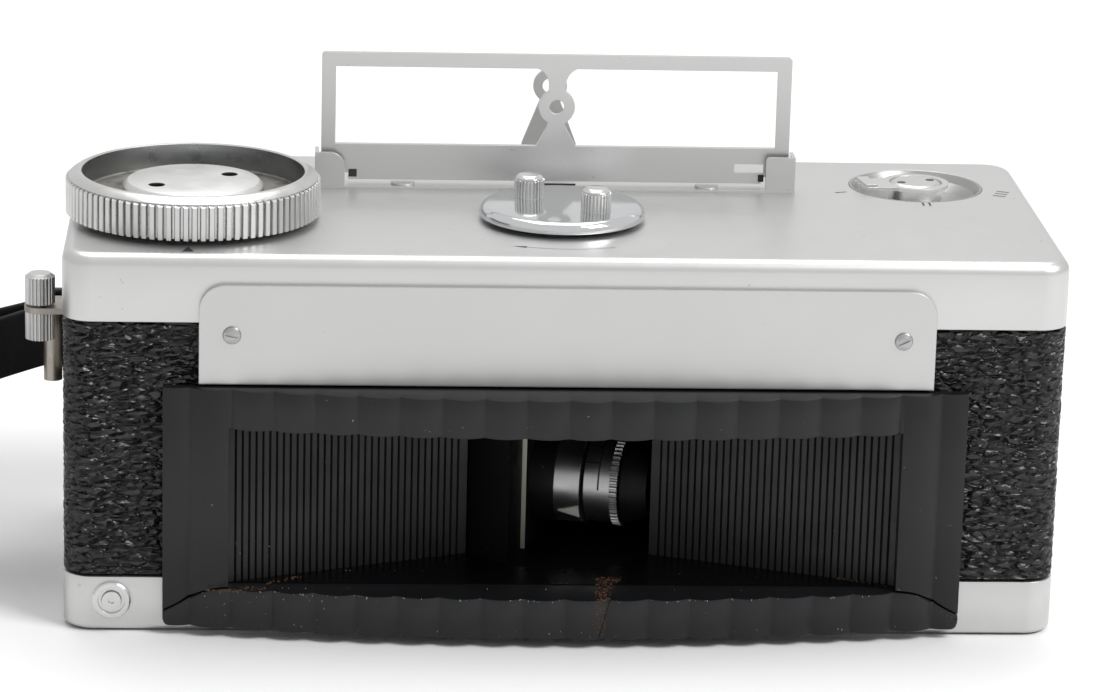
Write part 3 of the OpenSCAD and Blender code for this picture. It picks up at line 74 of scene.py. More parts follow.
# Materials: each one is a dictionary, with tone, grain and marks laid out in object coordinates
noiseSpan = (0.3, 0.7)
noiseDetail = {"tone": 4, "rough": 5, "mark": 2, "warp": 2, "grain": 3}
softCut = 0.02
usual = {
    "toneScale": 90, "roughScale": 300, "roughSpread": 0.06, "metal": 0, "specular": 0.5, "bevelSamples": 4,
}


def surface(spec):
    material = bpy.data.materials.new(spec["name"])
    material.use_nodes = True
    tree = material.node_tree
    shader = tree.nodes["Principled BSDF"]

    def fill(socket, value):
        if isinstance(value, bpy.types.NodeSocket):
            tree.links.new(value, socket)
        else:
            socket.default_value = value

    def node(kind, **values):
        made = tree.nodes.new(kind)
        for key, value in values.items():
            fill(made.inputs[key], value)
        return made

    def vectorMath(operation, *values):
        made = tree.nodes.new("ShaderNodeVectorMath")
        made.operation = operation
        for socket, value in zip(made.inputs, values):
            fill(socket, value)
        return made

    def mapped(scale, turn=(0, 0, 0)):
        return node("ShaderNodeMapping", Vector=place, Scale=scale, Rotation=turn).outputs[0]

    def noise(vector, scale, detail, output="Fac"):
        return node("ShaderNodeTexNoise", Vector=vector, Scale=scale, Detail=detail).outputs[output]

    def ranged(value, span, low, high):
        made = node("ShaderNodeMapRange", Value=value)
        for key, number in zip(("From Min", "From Max", "To Min", "To Max"), (*span, low, high)):
            fill(made.inputs[key], number)
        return made.outputs["Result"]

    def blended(factor, first, second):
        made = tree.nodes.new("ShaderNodeMix")
        made.data_type = "RGBA"
        fill(made.inputs[0], factor)
        for socket, value in ((made.inputs[6], first), (made.inputs[7], second)):
            fill(socket, (*value, 1) if isinstance(value, tuple) else value)
        return made.outputs[2]

    spec = {**usual, **spec}
    place = tree.nodes.new("ShaderNodeTexCoord").outputs["Object"]
    grainPlace = place
    if "turnedAt" in spec:
        away = vectorMath("SUBTRACT", place, (*spec["turnedAt"], 0)).outputs[0]
        flat = vectorMath("MULTIPLY", away, (1, 1, 0)).outputs[0]
        reach = vectorMath("LENGTH", flat).outputs["Value"]
        grainPlace = node("ShaderNodeCombineXYZ", X=reach).outputs[0]
    elif "stretch" in spec:
        grainPlace = mapped(spec["stretch"])

    base, spread = spec["base"], spec["tone"]
    tone = noise(place, spec["toneScale"], noiseDetail["tone"])
    dark = tuple(c * (1 - spread) for c in base)
    light = tuple(min(1, c * (1 + spread)) for c in base)
    color = blended(ranged(tone, noiseSpan, 0, 1), dark, light)
    rough, swing = spec["rough"], spec["roughSpread"]
    haze = noise(place, spec["roughScale"], noiseDetail["rough"])
    for mark in spec.get("marks", ()):
        vector = mapped(mark["stretch"], mark["turn"]) if "stretch" in mark else place
        speck = noise(vector, mark["scale"], mark.get("detail", noiseDetail["mark"]))
        span = mark["cut"], mark["cut"] + mark.get("soft", softCut)
        found = ranged(speck, span, 0, mark["amount"])
        color = blended(found, color, mark["color"])
    normal = None
    if "bevel" in spec:
        bevel = node("ShaderNodeBevel", Radius=spec["bevel"])
        bevel.samples = spec["bevelSamples"]
        normal = bevel.outputs[0]
    if "pebbles" in spec:
        cells = spec["pebbles"]
        spots = mapped(cells["stretch"])
        warp = noise(spots, cells["warpScale"], noiseDetail["warp"], "Color")
        shifted = vectorMath("MULTIPLY_ADD", warp, (cells["warp"],) * 3, spots).outputs[0]
        cellNode = node("ShaderNodeTexVoronoi", Vector=shifted, Scale=cells["scale"])
        cellNode.feature = "DISTANCE_TO_EDGE"
        pebbles = ranged(cellNode.outputs["Distance"], (0, cells["edge"]), 0, 1)
        # painted shade: colour is blended towards the valley colour where the pebbles dip
        color = blended(pebbles, cells["valleyShade"], color)
        normal = node("ShaderNodeBump", Strength=1, Distance=cells["depth"], Height=pebbles).outputs[0]
    values = {
        "Base Color": color, "Roughness": ranged(haze, noiseSpan, rough - swing, rough + swing),
        "Metallic": spec["metal"], "Specular IOR Level": spec["specular"], **spec.get("clear", {}),
    }
    for key, value in values.items():
        fill(shader.inputs[key], value)
    for scale, depth, strength in spec.get("grain", ()):
        height = noise(grainPlace, scale, noiseDetail["grain"])
        bump = node("ShaderNodeBump", Strength=strength, Distance=depth, Height=height)
        if normal is not None:
            fill(bump.inputs["Normal"], normal)
        normal = bump.outputs[0]
    if normal is not None:
        fill(shader.inputs["Normal"], normal)
    return material


# Grain: noise scale, depth in metres and strength; turning axes are in metres too
fineGrain = (9000, 0.00002, 0.2)
steelGrain = (6000, 0.00002, 0.2)
softGrain = (5000, 0.00002, 0.2)
paintGrain = (7000, 0.00003, 0.3)
dishAxis = (0.0499, 0.0134)
knobAxis = (-0.04865, -0.007)
discAxis = (0, -0.007)
dirt = {"scale": 900, "cut": 0.745, "color": (0.25, 0.24, 0.22), "amount": 0.35}
dust = {"scale": 1500, "cut": 0.76, "color": (0.3, 0.3, 0.3), "amount": 0.5}
scratch = {
    "scale": 700, "cut": 0.76, "color": (0.2, 0.2, 0.2), "amount": 0.3, "stretch": (0.06, 1, 1),
    "turn": (0, 0.4, 0.7),
}
grime = {"scale": 420, "cut": 0.5, "soft": 0.2, "color": (0.09, 0.07, 0.05), "amount": 0.75, "detail": 5}

satin = surface({
    "name": "satinMetal", "base": (0.6, 0.6, 0.595), "metal": 0.9, "rough": 0.36, "tone": 0.012,
    "toneScale": 70, "roughSpread": 0.015, "grain": [(9000, 0.00002, 0.25), (2500, 0.00002, 0.08)],
    "marks": [dirt], "bevel": 0.00012,
})
plateMetal = surface({
    "name": "plateMetal", "base": (0.57, 0.57, 0.565), "metal": 0.85, "rough": 0.4, "tone": 0.015,
    "toneScale": 50, "roughSpread": 0.015, "grain": [fineGrain], "marks": [dirt],
    "bevel": 0.00025,
})
bright = surface({
    "name": "brightMetal", "base": (0.66, 0.66, 0.655), "metal": 1, "rough": 0.2, "tone": 0.04,
    "roughSpread": 0.05, "grain": [(6000, 0.00001, 0.08)], "marks": [dirt], "bevel": 0.0001,
})
lensMetal = surface({
    "name": "lensMetal", "base": (0.42, 0.42, 0.42), "metal": 1, "rough": 0.34, "tone": 0.06,
    "roughSpread": 0.06, "grain": [fineGrain], "marks": [dirt], "bevel": 0.0001,
})
dishTurned = {
    "rough": 0.36, "roughSpread": 0.05, "turnedAt": dishAxis, "grain": [fineGrain], "marks": [dirt],
}
# painted shade: the speed dish takes a darker copy of the hub's turned metal, for the shade in its bowl
dishMetal = surface({
    **dishTurned, "name": "dishMetal", "base": (0.36, 0.36, 0.355), "metal": 0.9, "tone": 0.06,
})
hubMetal = surface({
    **dishTurned, "name": "hubMetal", "base": (0.58, 0.58, 0.575), "metal": 0.95, "tone": 0.04,
})
knobMetal = surface({
    "name": "knobMetal", "base": (0.6, 0.6, 0.595), "metal": 1, "rough": 0.3, "tone": 0.05,
    "roughSpread": 0.06, "turnedAt": knobAxis, "grain": [(9000, 0.00002, 0.25)],
    "marks": [dirt],
})
# painted shade: a darker copy of the knob's metal on the recess wall, standing in for the dark reflection
# there
recessMetal = surface({
    "name": "recessMetal", "base": (0.26, 0.265, 0.27), "metal": 1, "rough": 0.3, "tone": 0.12,
    "roughSpread": 0.08, "stretch": (0.2, 0.2, 1), "grain": [(7000, 0.00003, 0.25)],
})
dirtyMetal = surface({
    "name": "dirtyMetal", "base": (0.22, 0.215, 0.2), "metal": 0.8, "rough": 0.5, "tone": 0.25,
    "roughSpread": 0.1, "grain": [(5000, 0.00004, 0.4)], "marks": [grime],
})
capMetal = surface({
    "name": "capMetal", "base": (0.64, 0.64, 0.63), "metal": 0.95, "rough": 0.42, "tone": 0.05,
    "roughSpread": 0.05, "turnedAt": knobAxis, "grain": [(12000, 0.00002, 0.3)],
    "marks": [dirt],
})
discMetal = surface({
    "name": "discMetal", "base": (0.66, 0.67, 0.68), "metal": 1, "rough": 0.09, "tone": 0.03,
    "roughSpread": 0.03, "turnedAt": discAxis, "grain": [(9000, 0.00001, 0.08)],
})
steel = surface({
    "name": "steel", "base": (0.42, 0.42, 0.42), "metal": 1, "rough": 0.32, "tone": 0.1,
    "roughSpread": 0.08, "stretch": (1, 1, 0.1), "grain": [(8000, 0.00002, 0.2)], "bevel": 0.00008,
})
bracketMetal = surface({
    "name": "bracketMetal", "base": (0.38, 0.35, 0.31), "metal": 0.9, "rough": 0.4, "tone": 0.15,
    "roughSpread": 0.08, "grain": [(6000, 0.00002, 0.25)], "marks": [dict(grime, cut=0.62)],
    "bevel": 0.0001,
})
# dark steel of the strap staple; in the cap it is painted shade on the walls and floors of the holes
darkSteel = surface({
    "name": "darkSteel", "base": (0.03, 0.03, 0.03), "metal": 0.5, "rough": 0.4, "tone": 0.2,
    "roughSpread": 0.08, "grain": [steelGrain],
})
brass = surface({
    "name": "brass", "base": (0.6, 0.44, 0.2), "metal": 1, "rough": 0.34, "tone": 0.12,
    "roughSpread": 0.08, "grain": [steelGrain], "bevel": 0.0001,
})
bareEnd = surface({
    "name": "bareEnd", "base": (0.16, 0.1, 0.05), "metal": 0.4, "rough": 0.5, "tone": 0.3,
    "toneScale": 900, "roughSpread": 0.1, "grain": [(5000, 0.00003, 0.3)],
})
painted = {"tone": 0.25, "roughSpread": 0.08, "grain": [paintGrain], "bevel": 0.0001}
blackPaint = surface({
    **painted, "name": "blackPaint", "base": (0.004, 0.004, 0.0042), "rough": 0.55, "specular": 0.2,
    "marks": [dict(dust, amount=0.15)],
})
# painted shade: a blacker copy of the black paint for the pieces deep in the body's cavity; the lip's crack
# uses it too
cavityBlack = surface({
    **painted, "name": "cavityBlack", "base": (0.002, 0.002, 0.0021), "rough": 0.6, "specular": 0.08,
    "marks": [dict(dust, amount=0.1)],
})
blackWall = surface({
    "name": "blackWall", "base": (0.017, 0.017, 0.0175), "rough": 0.42, "tone": 0.3, "toneScale": 120,
    "roughSpread": 0.08, "specular": 0.3, "stretch": (1, 1, 0.3), "grain": [softGrain],
    "marks": [dict(dust, amount=0.3)], "bevel": 0.00008,
})
blackGloss = surface({
    "name": "blackGloss", "base": (0.002, 0.002, 0.0022), "rough": 0.3, "tone": 0.2, "roughSpread": 0.05,
    "specular": 0.12, "grain": [(900, 0.00002, 0.06)], "marks": [dict(dust, amount=0.4)],
})
anodised = surface({
    "name": "blackAnodised", "base": (0.0072, 0.0076, 0.0086), "rough": 0.34, "tone": 0.16,
    "toneScale": 140, "roughSpread": 0.06, "specular": 0.36,
    "grain": [(6000, 0.00003, 0.22), (800, 0.00004, 0.1)], "marks": [dust, scratch],
})
leather = surface({
    "name": "blackLeather", "base": (0.011, 0.0112, 0.0115), "rough": 0.3, "tone": 0.3, "toneScale": 400,
    "roughSpread": 0.08, "grain": [(3500, 0.00005, 0.3)], "marks": [dict(dust, amount=0.2)],
    "pebbles": {
        "scale": 430, "stretch": (1, 1, 2.5), "warpScale": 260, "warp": 0.0022, "edge": 0.3, "depth": 0.0006,
        # painted shade: the valleys between the pebbles are blended towards near black
        "valleyShade": (0.001, 0.001, 0.001),
    },
})
strapLeather = surface({
    "name": "strapLeather", "base": (0.003, 0.003, 0.0031), "rough": 0.62, "tone": 0.3,
    "roughSpread": 0.1, "specular": 0.18, "grain": [(2600, 0.00012, 0.5)],
    "marks": [dict(dust, amount=0.2)],
})
rust = surface({
    "name": "rust", "base": (0.1, 0.042, 0.018), "rough": 0.85, "tone": 0.6, "toneScale": 1500,
    "roughSpread": 0.1, "grain": [(4000, 0.0001, 0.6)],
})
stain = surface({
    "name": "stain", "base": (0.09, 0.05, 0.028), "rough": 0.8, "tone": 0.5, "toneScale": 1500,
    "grain": [(4000, 0.0001, 0.5)],
})
# pale specks: real lint, and on the lip's top edge worn spots that also stand in as painted glints
lint = surface({
    "name": "lint", "base": (0.34, 0.34, 0.33), "rough": 0.8, "tone": 0.15,
    "grain": [(3000, 0.00002, 0.2)],
})
ink = surface({
    "name": "ink", "base": (0.015, 0.015, 0.015), "rough": 0.5, "tone": 0.2,
    "grain": [softGrain],
})
pale = surface({
    "name": "paleEdge", "base": (0.72, 0.7, 0.6), "metal": 0.4, "rough": 0.35, "tone": 0.08,
    "roughSpread": 0.06, "grain": [softGrain],
})
pointerPale = surface({
    "name": "pointerPale", "base": (0.75, 0.74, 0.7), "rough": 0.5, "tone": 0.08,
    "grain": [softGrain],
})
glass = surface({
    "name": "lensGlass", "base": (0.8, 0.85, 0.95), "rough": 0.02, "tone": 0.02, "roughSpread": 0.01,
    "clear": {"Transmission Weight": 1, "IOR": 1.55, "Coat Weight": 0.6, "Coat Roughness": 0.02},
})
print("stage: materials made")


# Mesh helpers: sizes are in millimetres, and edges past the sharp angle stay hard
def linkedObject(name, data, materials, sharp):
    for material in materials:
        data.materials.append(material)
    data.polygons.foreach_set("use_smooth", [True] * len(data.polygons))
    data.update()
    if sharp:
        data.set_sharp_from_angle(angle=math.radians(sharp))
    obj = bpy.data.objects.new(name, data)
    scene.collection.objects.link(obj)
    return obj


def addMesh(name, verts, faces, *materials, sharp=0):
    data = bpy.data.meshes.new(name)
    data.from_pydata((np.array(verts, float) * mm).tolist(), [], faces)
    return linkedObject(name, data, materials, sharp)


def joinedParts(parts):
    verts, faces = [], []
    for partVerts, partFaces in parts:
        start = len(verts)
        verts.extend(partVerts)
        faces.extend([tuple(i + start for i in face) for face in partFaces])
    return verts, faces


def ringFaces(rings, count, closed=True):
    last = count if closed else count - 1
    return [
        (a * count + b, a * count + (b + 1) % count, (a + 1) * count + (b + 1) % count, (a + 1) * count + b)
        for a in range(rings - 1) for b in range(last)
    ]


def closedFaces(rings, count):
    ends = [tuple(reversed(range(count))), tuple(range((rings - 1) * count, rings * count))]
    return ringFaces(rings, count) + ends


def onCircle(centre, radius, angle):
    return centre[0] + radius * math.cos(angle), centre[1] + radius * math.sin(angle)


def circlePoints(centre, radius, z, count):
    return [(*onCircle(centre, radius, 2 * math.pi * k / count), z) for k in range(count)]


def revolved(profile, centre, count):
    verts = [point for radius, z in profile for point in circlePoints(centre, radius, z, count)]
    return verts, ringFaces(len(profile), count)


def circleVerts(work, centre, radius, z, count):
    return [work.verts.new(point) for point in circlePoints(centre, radius, z, count)]


def roundedCorners(halfWide, halfDeep, radius, steps):
    found = []
    for sideX, sideY, start in ((1, 1, 0), (-1, 1, 90), (-1, -1, 180), (1, -1, 270)):
        centre = sideX * (halfWide - radius), sideY * (halfDeep - radius)
        turns = [math.radians(start + 90 * k / steps) for k in range(steps + 1)]
        found.append([(*onCircle(centre, radius, a), math.cos(a), math.sin(a)) for a in turns])
    return found


def easedArc(ease, steps):
    turns = [math.radians(90 * k / steps) for k in range(steps + 1)]
    return [(ease * (1 - math.cos(a)), ease * (1 - math.sin(a))) for a in turns]


tinyEdge = 1e-7


def bridgedFaces(work, loops, flip=False):
    count = len(loops[0])
    made = []
    for first, second in zip(loops, loops[1:]):
        for k in range(count):
            quad = [first[k], first[(k + 1) % count], second[(k + 1) % count], second[k]]
            if max((quad[0].co - quad[1].co).length, (quad[2].co - quad[3].co).length) > tinyEdge:
                made.append(work.faces.new(quad[::-1] if flip else quad))
    return made


def loopEdges(work, loop):
    found = [work.edges.get(pair) for pair in zip(loop, loop[1:] + loop[:1])]
    return [edge for edge in found if edge is not None]


def meshFrom(work, name, *materials, sharp=0):
    bmesh.ops.scale(work, vec=(mm, mm, mm), verts=work.verts)
    data = bpy.data.meshes.new(name)
    work.to_mesh(data)
    work.free()
    return linkedObject(name, data, materials, sharp)


def settle(obj, body, slot, *replaced):
    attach(obj, body)
    if replaced:
        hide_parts(*replaced)
    return obj


def plainMesh(obj):
    depsgraph = bpy.context.evaluated_depsgraph_get()
    made = bpy.data.meshes.new_from_object(obj.evaluated_get(depsgraph))
    obj.modifiers.clear()
    obj.data = made
    return obj


# Wrist strap: a flat band that loops round the staple, slopes to the table and comes back
strapPiece = {
    "route": [
        (-66.2, 7, 31), (-66.4, 6.4, 31), (-67, 5.9, 30.8), (-67.9, 5.7, 30.6), (-72, 5.4, 29.4),
        (-78, 4.2, 27.6), (-90, 0, 24), (-104, -5, 20), (-118, -9, 15.8), (-132, -11, 11.6),
        (-145, -8.5, 7.7), (-153, -3, 5.3), (-157.5, 4, 4.8), (-158, 11, 4.8), (-155, 18, 4.9),
        (-147, 24, 7.1), (-134, 27, 11), (-120, 25, 15.2), (-104, 20, 20), (-90, 15, 24),
        (-78, 10.8, 27.6), (-72, 9.6, 29.4), (-67.9, 9.3, 30.6), (-67, 9.1, 30.8), (-66.4, 8.6, 31),
        (-66.2, 8, 31),
    ],
    "width": 8.2, "thick": 1.4, "ease": 0.5, "easeSteps": 3, "steps": 6, "length": 0.217, "clear": 0.05,
}


def smoothRoute(points, steps):
    points = np.array(points, float)
    padded = np.vstack([2 * points[0] - points[1], points, 2 * points[-1] - points[-2]])
    found = []
    for i in range(1, len(padded) - 2):
        a, b, c, d = padded[i - 1:i + 3]
        for t in np.arange(steps) / steps:
            squared = (2 * a - 5 * b + 4 * c - d) * t ** 2
            found.append(0.5 * (2 * b + (c - a) * t + squared + (3 * b - a - 3 * c + d) * t ** 3))
    return np.array(found + [points[-1]])


def makeStrap(piece):
    path = smoothRoute(piece["route"], piece["steps"])
    path[:, 2] = np.maximum(path[:, 2], piece["width"] / 2 + piece["clear"])
    corners = roundedCorners(piece["thick"] / 2, piece["width"] / 2, piece["ease"], piece["easeSteps"])
    section = [point[:2] for corner in corners for point in corner]
    verts = []
    for i, point in enumerate(path):
        along = path[min(i + 1, len(path) - 1)] - path[max(i - 1, 0)]
        along /= np.linalg.norm(along)
        side = np.array([along[1], -along[0], 0])
        side /= np.linalg.norm(side)
        upward = np.cross(side, along)
        verts.extend([point + s * side + u * upward for s, u in section])
    faces = [face[::-1] for face in closedFaces(len(path), len(section))]
    obj = addMesh("wristStrap", verts, faces, strapLeather, sharp=50)
    settle(obj, "root", "strap_leather", "wrist_strap")


makeStrap(strapPiece)
print("stage: strap made")

# Covers: rounded outline carried up a profile, with the flat face filled round its holes
topPiece = {
    "width": 130, "depth": 56, "corner": 4, "low": 41.6, "high": 50.5, "ease": 1.6, "sheet": 1.2,
    "holes": [(49.9, 13.4, 9.1)],
}
basePiece = {
    "width": 130, "depth": 56, "corner": 4, "low": 7.3, "high": 0, "ease": 0.8, "sheet": 1.2,
    "holes": [(0, 0, 4.5), (-56, -21, 2), (56, -21, 2), (-56, 21, 2), (56, 21, 2)], "notch": 50,
    "notchTop": 5.35,
}
coverEdge = {
    "cornerSteps": 14, "easeSteps": 8, "foot": [(0.2, 0), (0.06, 0.06), (0, 0.2)], "notchReach": 0.3,
    "holeRim": [(0, 0.15), (0.15, 0)], "holeSteps": 64,
}


def outline(piece):
    halfW, halfD = piece["width"] / 2, piece["depth"] / 2
    corners = roundedCorners(halfW, halfD, piece["corner"], coverEdge["cornerSteps"])
    backRight, backLeft, frontLeft, frontRight = [[(*point, False) for point in corner] for corner in corners]
    notch = []
    if "notch" in piece:
        n = piece["notch"]
        ends = ((-n, False), (-n, True), (n, True), (n, False))
        notch = [(x, -halfD, 0, -1, cut) for x, cut in ends]
    return backRight + backLeft + frontLeft + notch + frontRight


def makeCover(name, piece, material):
    points = outline(piece)
    low, high, ease, sheet = piece["low"], piece["high"], piece["ease"], piece["sheet"]
    side = 1 if high > low else -1
    profile = [(sheet, high - side * sheet), (sheet, low)]
    profile += [(inset, low + side * rise) for inset, rise in coverEdge["foot"]]
    profile += [(inset, high - side * drop) for inset, drop in easedArc(ease, coverEdge["easeSteps"])]
    work = bmesh.new()
    rings = []
    for inset, z in profile:
        ring = []
        for x, y, nx, ny, cut in points:
            lifted = cut and abs(z - low) < coverEdge["notchReach"]
            height = z - low + piece["notchTop"] if lifted else z
            ring.append(work.verts.new((x - nx * inset, y - ny * inset, height)))
        rings.append(ring)
    bridgedFaces(work, rings, side < 0)
    rim = loopEdges(work, rings[-1])
    for cx, cy, radius in piece["holes"]:
        loops = [
            circleVerts(work, (cx, cy), radius + grow, high - side * drop, coverEdge["holeSteps"])
            for drop, grow in [*coverEdge["holeRim"], (sheet, 0)]
        ]
        bridgedFaces(work, loops, side < 0)
        rim += loopEdges(work, loops[0])
    bmesh.ops.triangle_fill(work, use_beauty=True, edges=rim, normal=(0, 0, side))
    return meshFrom(work, name, material, sharp=38)


settle(makeCover("topCover", topPiece, satin), "root", "satin_metal", "top_cover")
settle(makeCover("baseCover", basePiece, satin), "root", "satin_metal", "base_cover")
print("stage: covers made")

# Leather: a fine grid pressed into long crinkles
wrapPiece = {
    "halfW": 65, "halfD": 28, "corner": 4, "doorHalf": 60.5, "low": 7.45, "high": 41.45, "across": 0.3,
    "upright": 0.26, "seed": 4, "lipHalf": 51.2, "lipTop": 32.8, "plateHalf": 46.6, "plateLow": 30,
    "facing": 0.99,
}
backPiece = {"half": 60.2, "low": 7.6, "high": 41.3, "y": 28, "across": 0.34, "upright": 0.28, "seed": 9}
crinkle = {
    "long": 2.7, "cell": 0.92, "depth": 0.3, "edge": 0.34, "border": 0.15, "tuck": 0.6, "bends": 7,
    "bendLimits": ((0.25, 1.1), (0.4, 1.8), (0, 6.28), (-0.25, 0.25)), "leanV": 0.7, "leanU": 0.5,
    "drift": 2, "jitter": 0.46, "lowTop": 0.72, "swell": 0.7, "spare": 4,
}


def crinkled(u, v, seed, spec):
    random = np.random.default_rng(seed)
    leanU, leanV, drift, jitter = (spec[key] for key in ("leanU", "leanV", "drift", "jitter"))
    bends = [[random.uniform(low, high) for low, high in spec["bendLimits"]] for k in range(spec["bends"])]
    vs = v + sum(d * np.sin(a * u + c + leanV * b * v) for a, b, c, d in bends)
    us = (u + sum(drift * d * np.sin(b * v + c + leanU * a * u) for a, b, c, d in bends)) / spec["long"]
    startU, startV, cell = us.min(), vs.min(), spec["cell"]
    seeds = []
    for i in range(int((us.max() - startU) / cell) + spec["spare"]):
        for j in range(int((vs.max() - startV) / cell) + spec["spare"]):
            spot = random.uniform(-jitter, jitter, 2)
            across = startU + (i - 1 + spot[0] + 0.5 * (j % 2)) * cell
            seeds.append((across, startV + (j - 1 + spot[1]) * cell, 0))
    tree = KDTree(len(seeds))
    for i, point in enumerate(seeds):
        tree.insert(point, i)
    tree.balance()
    tops = random.uniform(spec["lowTop"], 1, len(seeds))
    height = np.empty(len(us))
    for k, (a, b) in enumerate(zip(us, vs)):
        near = tree.find_n((a, b, 0), 2)
        rise = min(1, (near[1][2] - near[0][2]) / spec["edge"])
        height[k] = tops[near[0][1]] * (rise * (2 - rise)) ** spec["swell"]
    return height


def sunken(rise, edge):
    return np.where(edge < crinkle["border"], crinkle["tuck"], (1 - rise) * crinkle["depth"])


def makeWrap(piece):
    r = piece["corner"]
    halfW, halfD = piece["halfW"], piece["halfD"]
    line = []

    def straight(start, end, normal):
        start, end = np.array(start, float), np.array(end, float)
        steps = max(1, int(np.linalg.norm(end - start) / piece["across"]))
        line.extend([(*(start + (end - start) * k / steps), *normal) for k in range(steps)])

    def bend(cx, cy, start):
        steps = int(math.pi / 2 * r / piece["across"])
        turns = [math.radians(start + 90 * k / steps) for k in range(steps)]
        line.extend([(*onCircle((cx, cy), r, a), math.cos(a), math.sin(a)) for a in turns])

    straight((-piece["doorHalf"], halfD), (-halfW + r, halfD), (0, 1))
    bend(-halfW + r, halfD - r, 90)
    straight((-halfW, halfD - r), (-halfW, -halfD + r), (-1, 0))
    bend(-halfW + r, -halfD + r, 180)
    straight((-halfW + r, -halfD), (halfW - r, -halfD), (0, -1))
    bend(halfW - r, -halfD + r, 270)
    straight((halfW, -halfD + r), (halfW, halfD - r), (1, 0))
    bend(halfW - r, halfD - r, 0)
    straight((halfW - r, halfD), (piece["doorHalf"], halfD), (0, 1))
    line.append((piece["doorHalf"], halfD, 0, 1))
    line = np.array(line)
    run = np.concatenate([[0], np.cumsum(np.linalg.norm(np.diff(line[:, :2], axis=0), axis=1))])
    rows = int((piece["high"] - piece["low"]) / piece["upright"])
    heights = np.linspace(piece["low"], piece["high"], rows + 1)
    gridU, gridZ = np.meshgrid(run, heights)
    rise = crinkled(gridU.ravel(), gridZ.ravel(), piece["seed"], crinkle).reshape(gridU.shape)
    edge = np.minimum(gridZ - piece["low"], piece["high"] - gridZ)
    sink = sunken(rise, edge)
    x = line[None, :, 0] - line[None, :, 2] * sink
    y = line[None, :, 1] - line[None, :, 3] * sink
    verts = np.stack([x, y, gridZ], axis=2).reshape(-1, 3)
    count = len(line)
    front = line[:, 3] < -piece["facing"]
    faces = []
    for face in ringFaces(rows + 1, count, closed=False):
        row, column = divmod(face[0], count)
        away = abs(line[column, 0])
        behindLip = away < piece["lipHalf"] and heights[row] < piece["lipTop"]
        behindPlate = away < piece["plateHalf"] and heights[row] > piece["plateLow"]
        if not (front[column] and (behindLip or behindPlate)):
            faces.append(face)
    used = sorted({i for face in faces for i in face})
    renumber = {old: new for new, old in enumerate(used)}
    faces = [tuple(renumber[i] for i in face) for face in faces]
    return addMesh("leatherWrap", verts[used], faces, leather)


def makeBack(piece):
    columns = int(2 * piece["half"] / piece["across"])
    rows = int((piece["high"] - piece["low"]) / piece["upright"])
    xs = np.linspace(-piece["half"], piece["half"], columns + 1)
    zs = np.linspace(piece["low"], piece["high"], rows + 1)
    gridX, gridZ = np.meshgrid(xs, zs)
    rise = crinkled(gridX.ravel(), gridZ.ravel(), piece["seed"], crinkle).reshape(gridX.shape)
    edge = np.minimum(np.minimum(gridX - xs[0], xs[-1] - gridX), np.minimum(gridZ - zs[0], zs[-1] - gridZ))
    verts = np.stack([gridX, piece["y"] - sunken(rise, edge), gridZ], axis=2).reshape(-1, 3)
    faces = [(b, a, d, c) for a, b, c, d in ringFaces(rows + 1, columns + 1, closed=False)]
    return addMesh("leatherBack", verts, faces, leather)


settle(makeWrap(wrapPiece), "root", "black_leather", "leather_wrap")
settle(makeBack(backPiece), "door", "black_leather", "leather_back")
print("stage: leather made")

# Horn: lips swept along x with soft flutes and eased edges
hornPiece = {
    "half": 52, "mouth": 43.5, "floor": 6.7, "roof": 28.1, "top": 33.4, "rear": -28, "out": 1.3,
    "bulge": 5, "flutes": 20, "depth": 0.8, "soft": 0.16, "ease": 0.3, "step": 0.18, "lipBottom": 1.1,
    "lipEase": 0.8, "seam": 0.15, "bendStart": 44.2, "bend": 6, "slope": 29.3, "easeCut": 0.3,
    "reach": 54, "fine": 0.02, "endShare": 0.8,
}


def fluteTable(piece):
    reach, fine = piece["reach"], piece["fine"]
    xs = np.arange(-reach, reach + fine / 20, fine)
    radius = (piece["half"] ** 2 + piece["bulge"] ** 2) / (2 * piece["bulge"])
    pitch = 2 * piece["half"] / (piece["flutes"] - piece["endShare"])
    run = np.arcsin(xs / radius) * radius / pitch
    share = 2 * np.abs(run - np.round(run))
    dip = piece["depth"] * (1 - share) ** 2
    window = np.hanning(int(piece["soft"] / fine) + 2)
    dip = np.convolve(dip, window[1:-1] / window.sum(), mode="same")
    arc = piece["rear"] - piece["out"] - piece["bulge"] + radius - np.sqrt(radius ** 2 - xs ** 2)
    return xs, arc + dip


hornX, hornY = fluteTable(hornPiece)


def partingAt(x):
    floor, start, bend = (hornPiece[key] for key in ("floor", "bendStart", "bend"))
    slope = math.radians(hornPiece["slope"])
    past = abs(x) - start
    end = bend * math.sin(slope)
    if past <= 0:
        return floor
    if past <= end:
        return floor - bend * (1 - math.sqrt(1 - (past / bend) ** 2))
    return floor - bend * (1 - math.cos(slope)) - (past - end) * math.tan(slope)


def roofAt(x):
    return hornPiece["roof"]


def topAt(x):
    return hornPiece["top"]


def lowerLipTop(x):
    return partingAt(x) - hornPiece["seam"]


def lipBar(piece, x0, x1, lowAt, highAt):
    steps = int((x1 - x0) / piece["step"])
    e = piece["ease"]
    cut = piece["easeCut"] * e
    verts = []
    for k in range(steps + 1):
        x = x0 + (x1 - x0) * k / steps
        y = float(np.interp(x, hornX, hornY))
        low, high = lowAt(x), highAt(x)
        loop = [
            (piece["rear"], low), (y + e, low), (y + cut, low + cut), (y, low + e), (y, high - e),
            (y + cut, high - cut), (y + e, high), (piece["rear"], high),
        ]
        verts.extend([(x, a, b) for a, b in loop])
    return verts, [face[::-1] for face in closedFaces(steps + 1, len(loop))]


def lipBottomAt(x):
    ease = hornPiece["lipEase"]
    past = max(0, abs(x) - hornPiece["half"] + ease)
    return hornPiece["lipBottom"] + ease - math.sqrt(max(0, ease ** 2 - past ** 2))


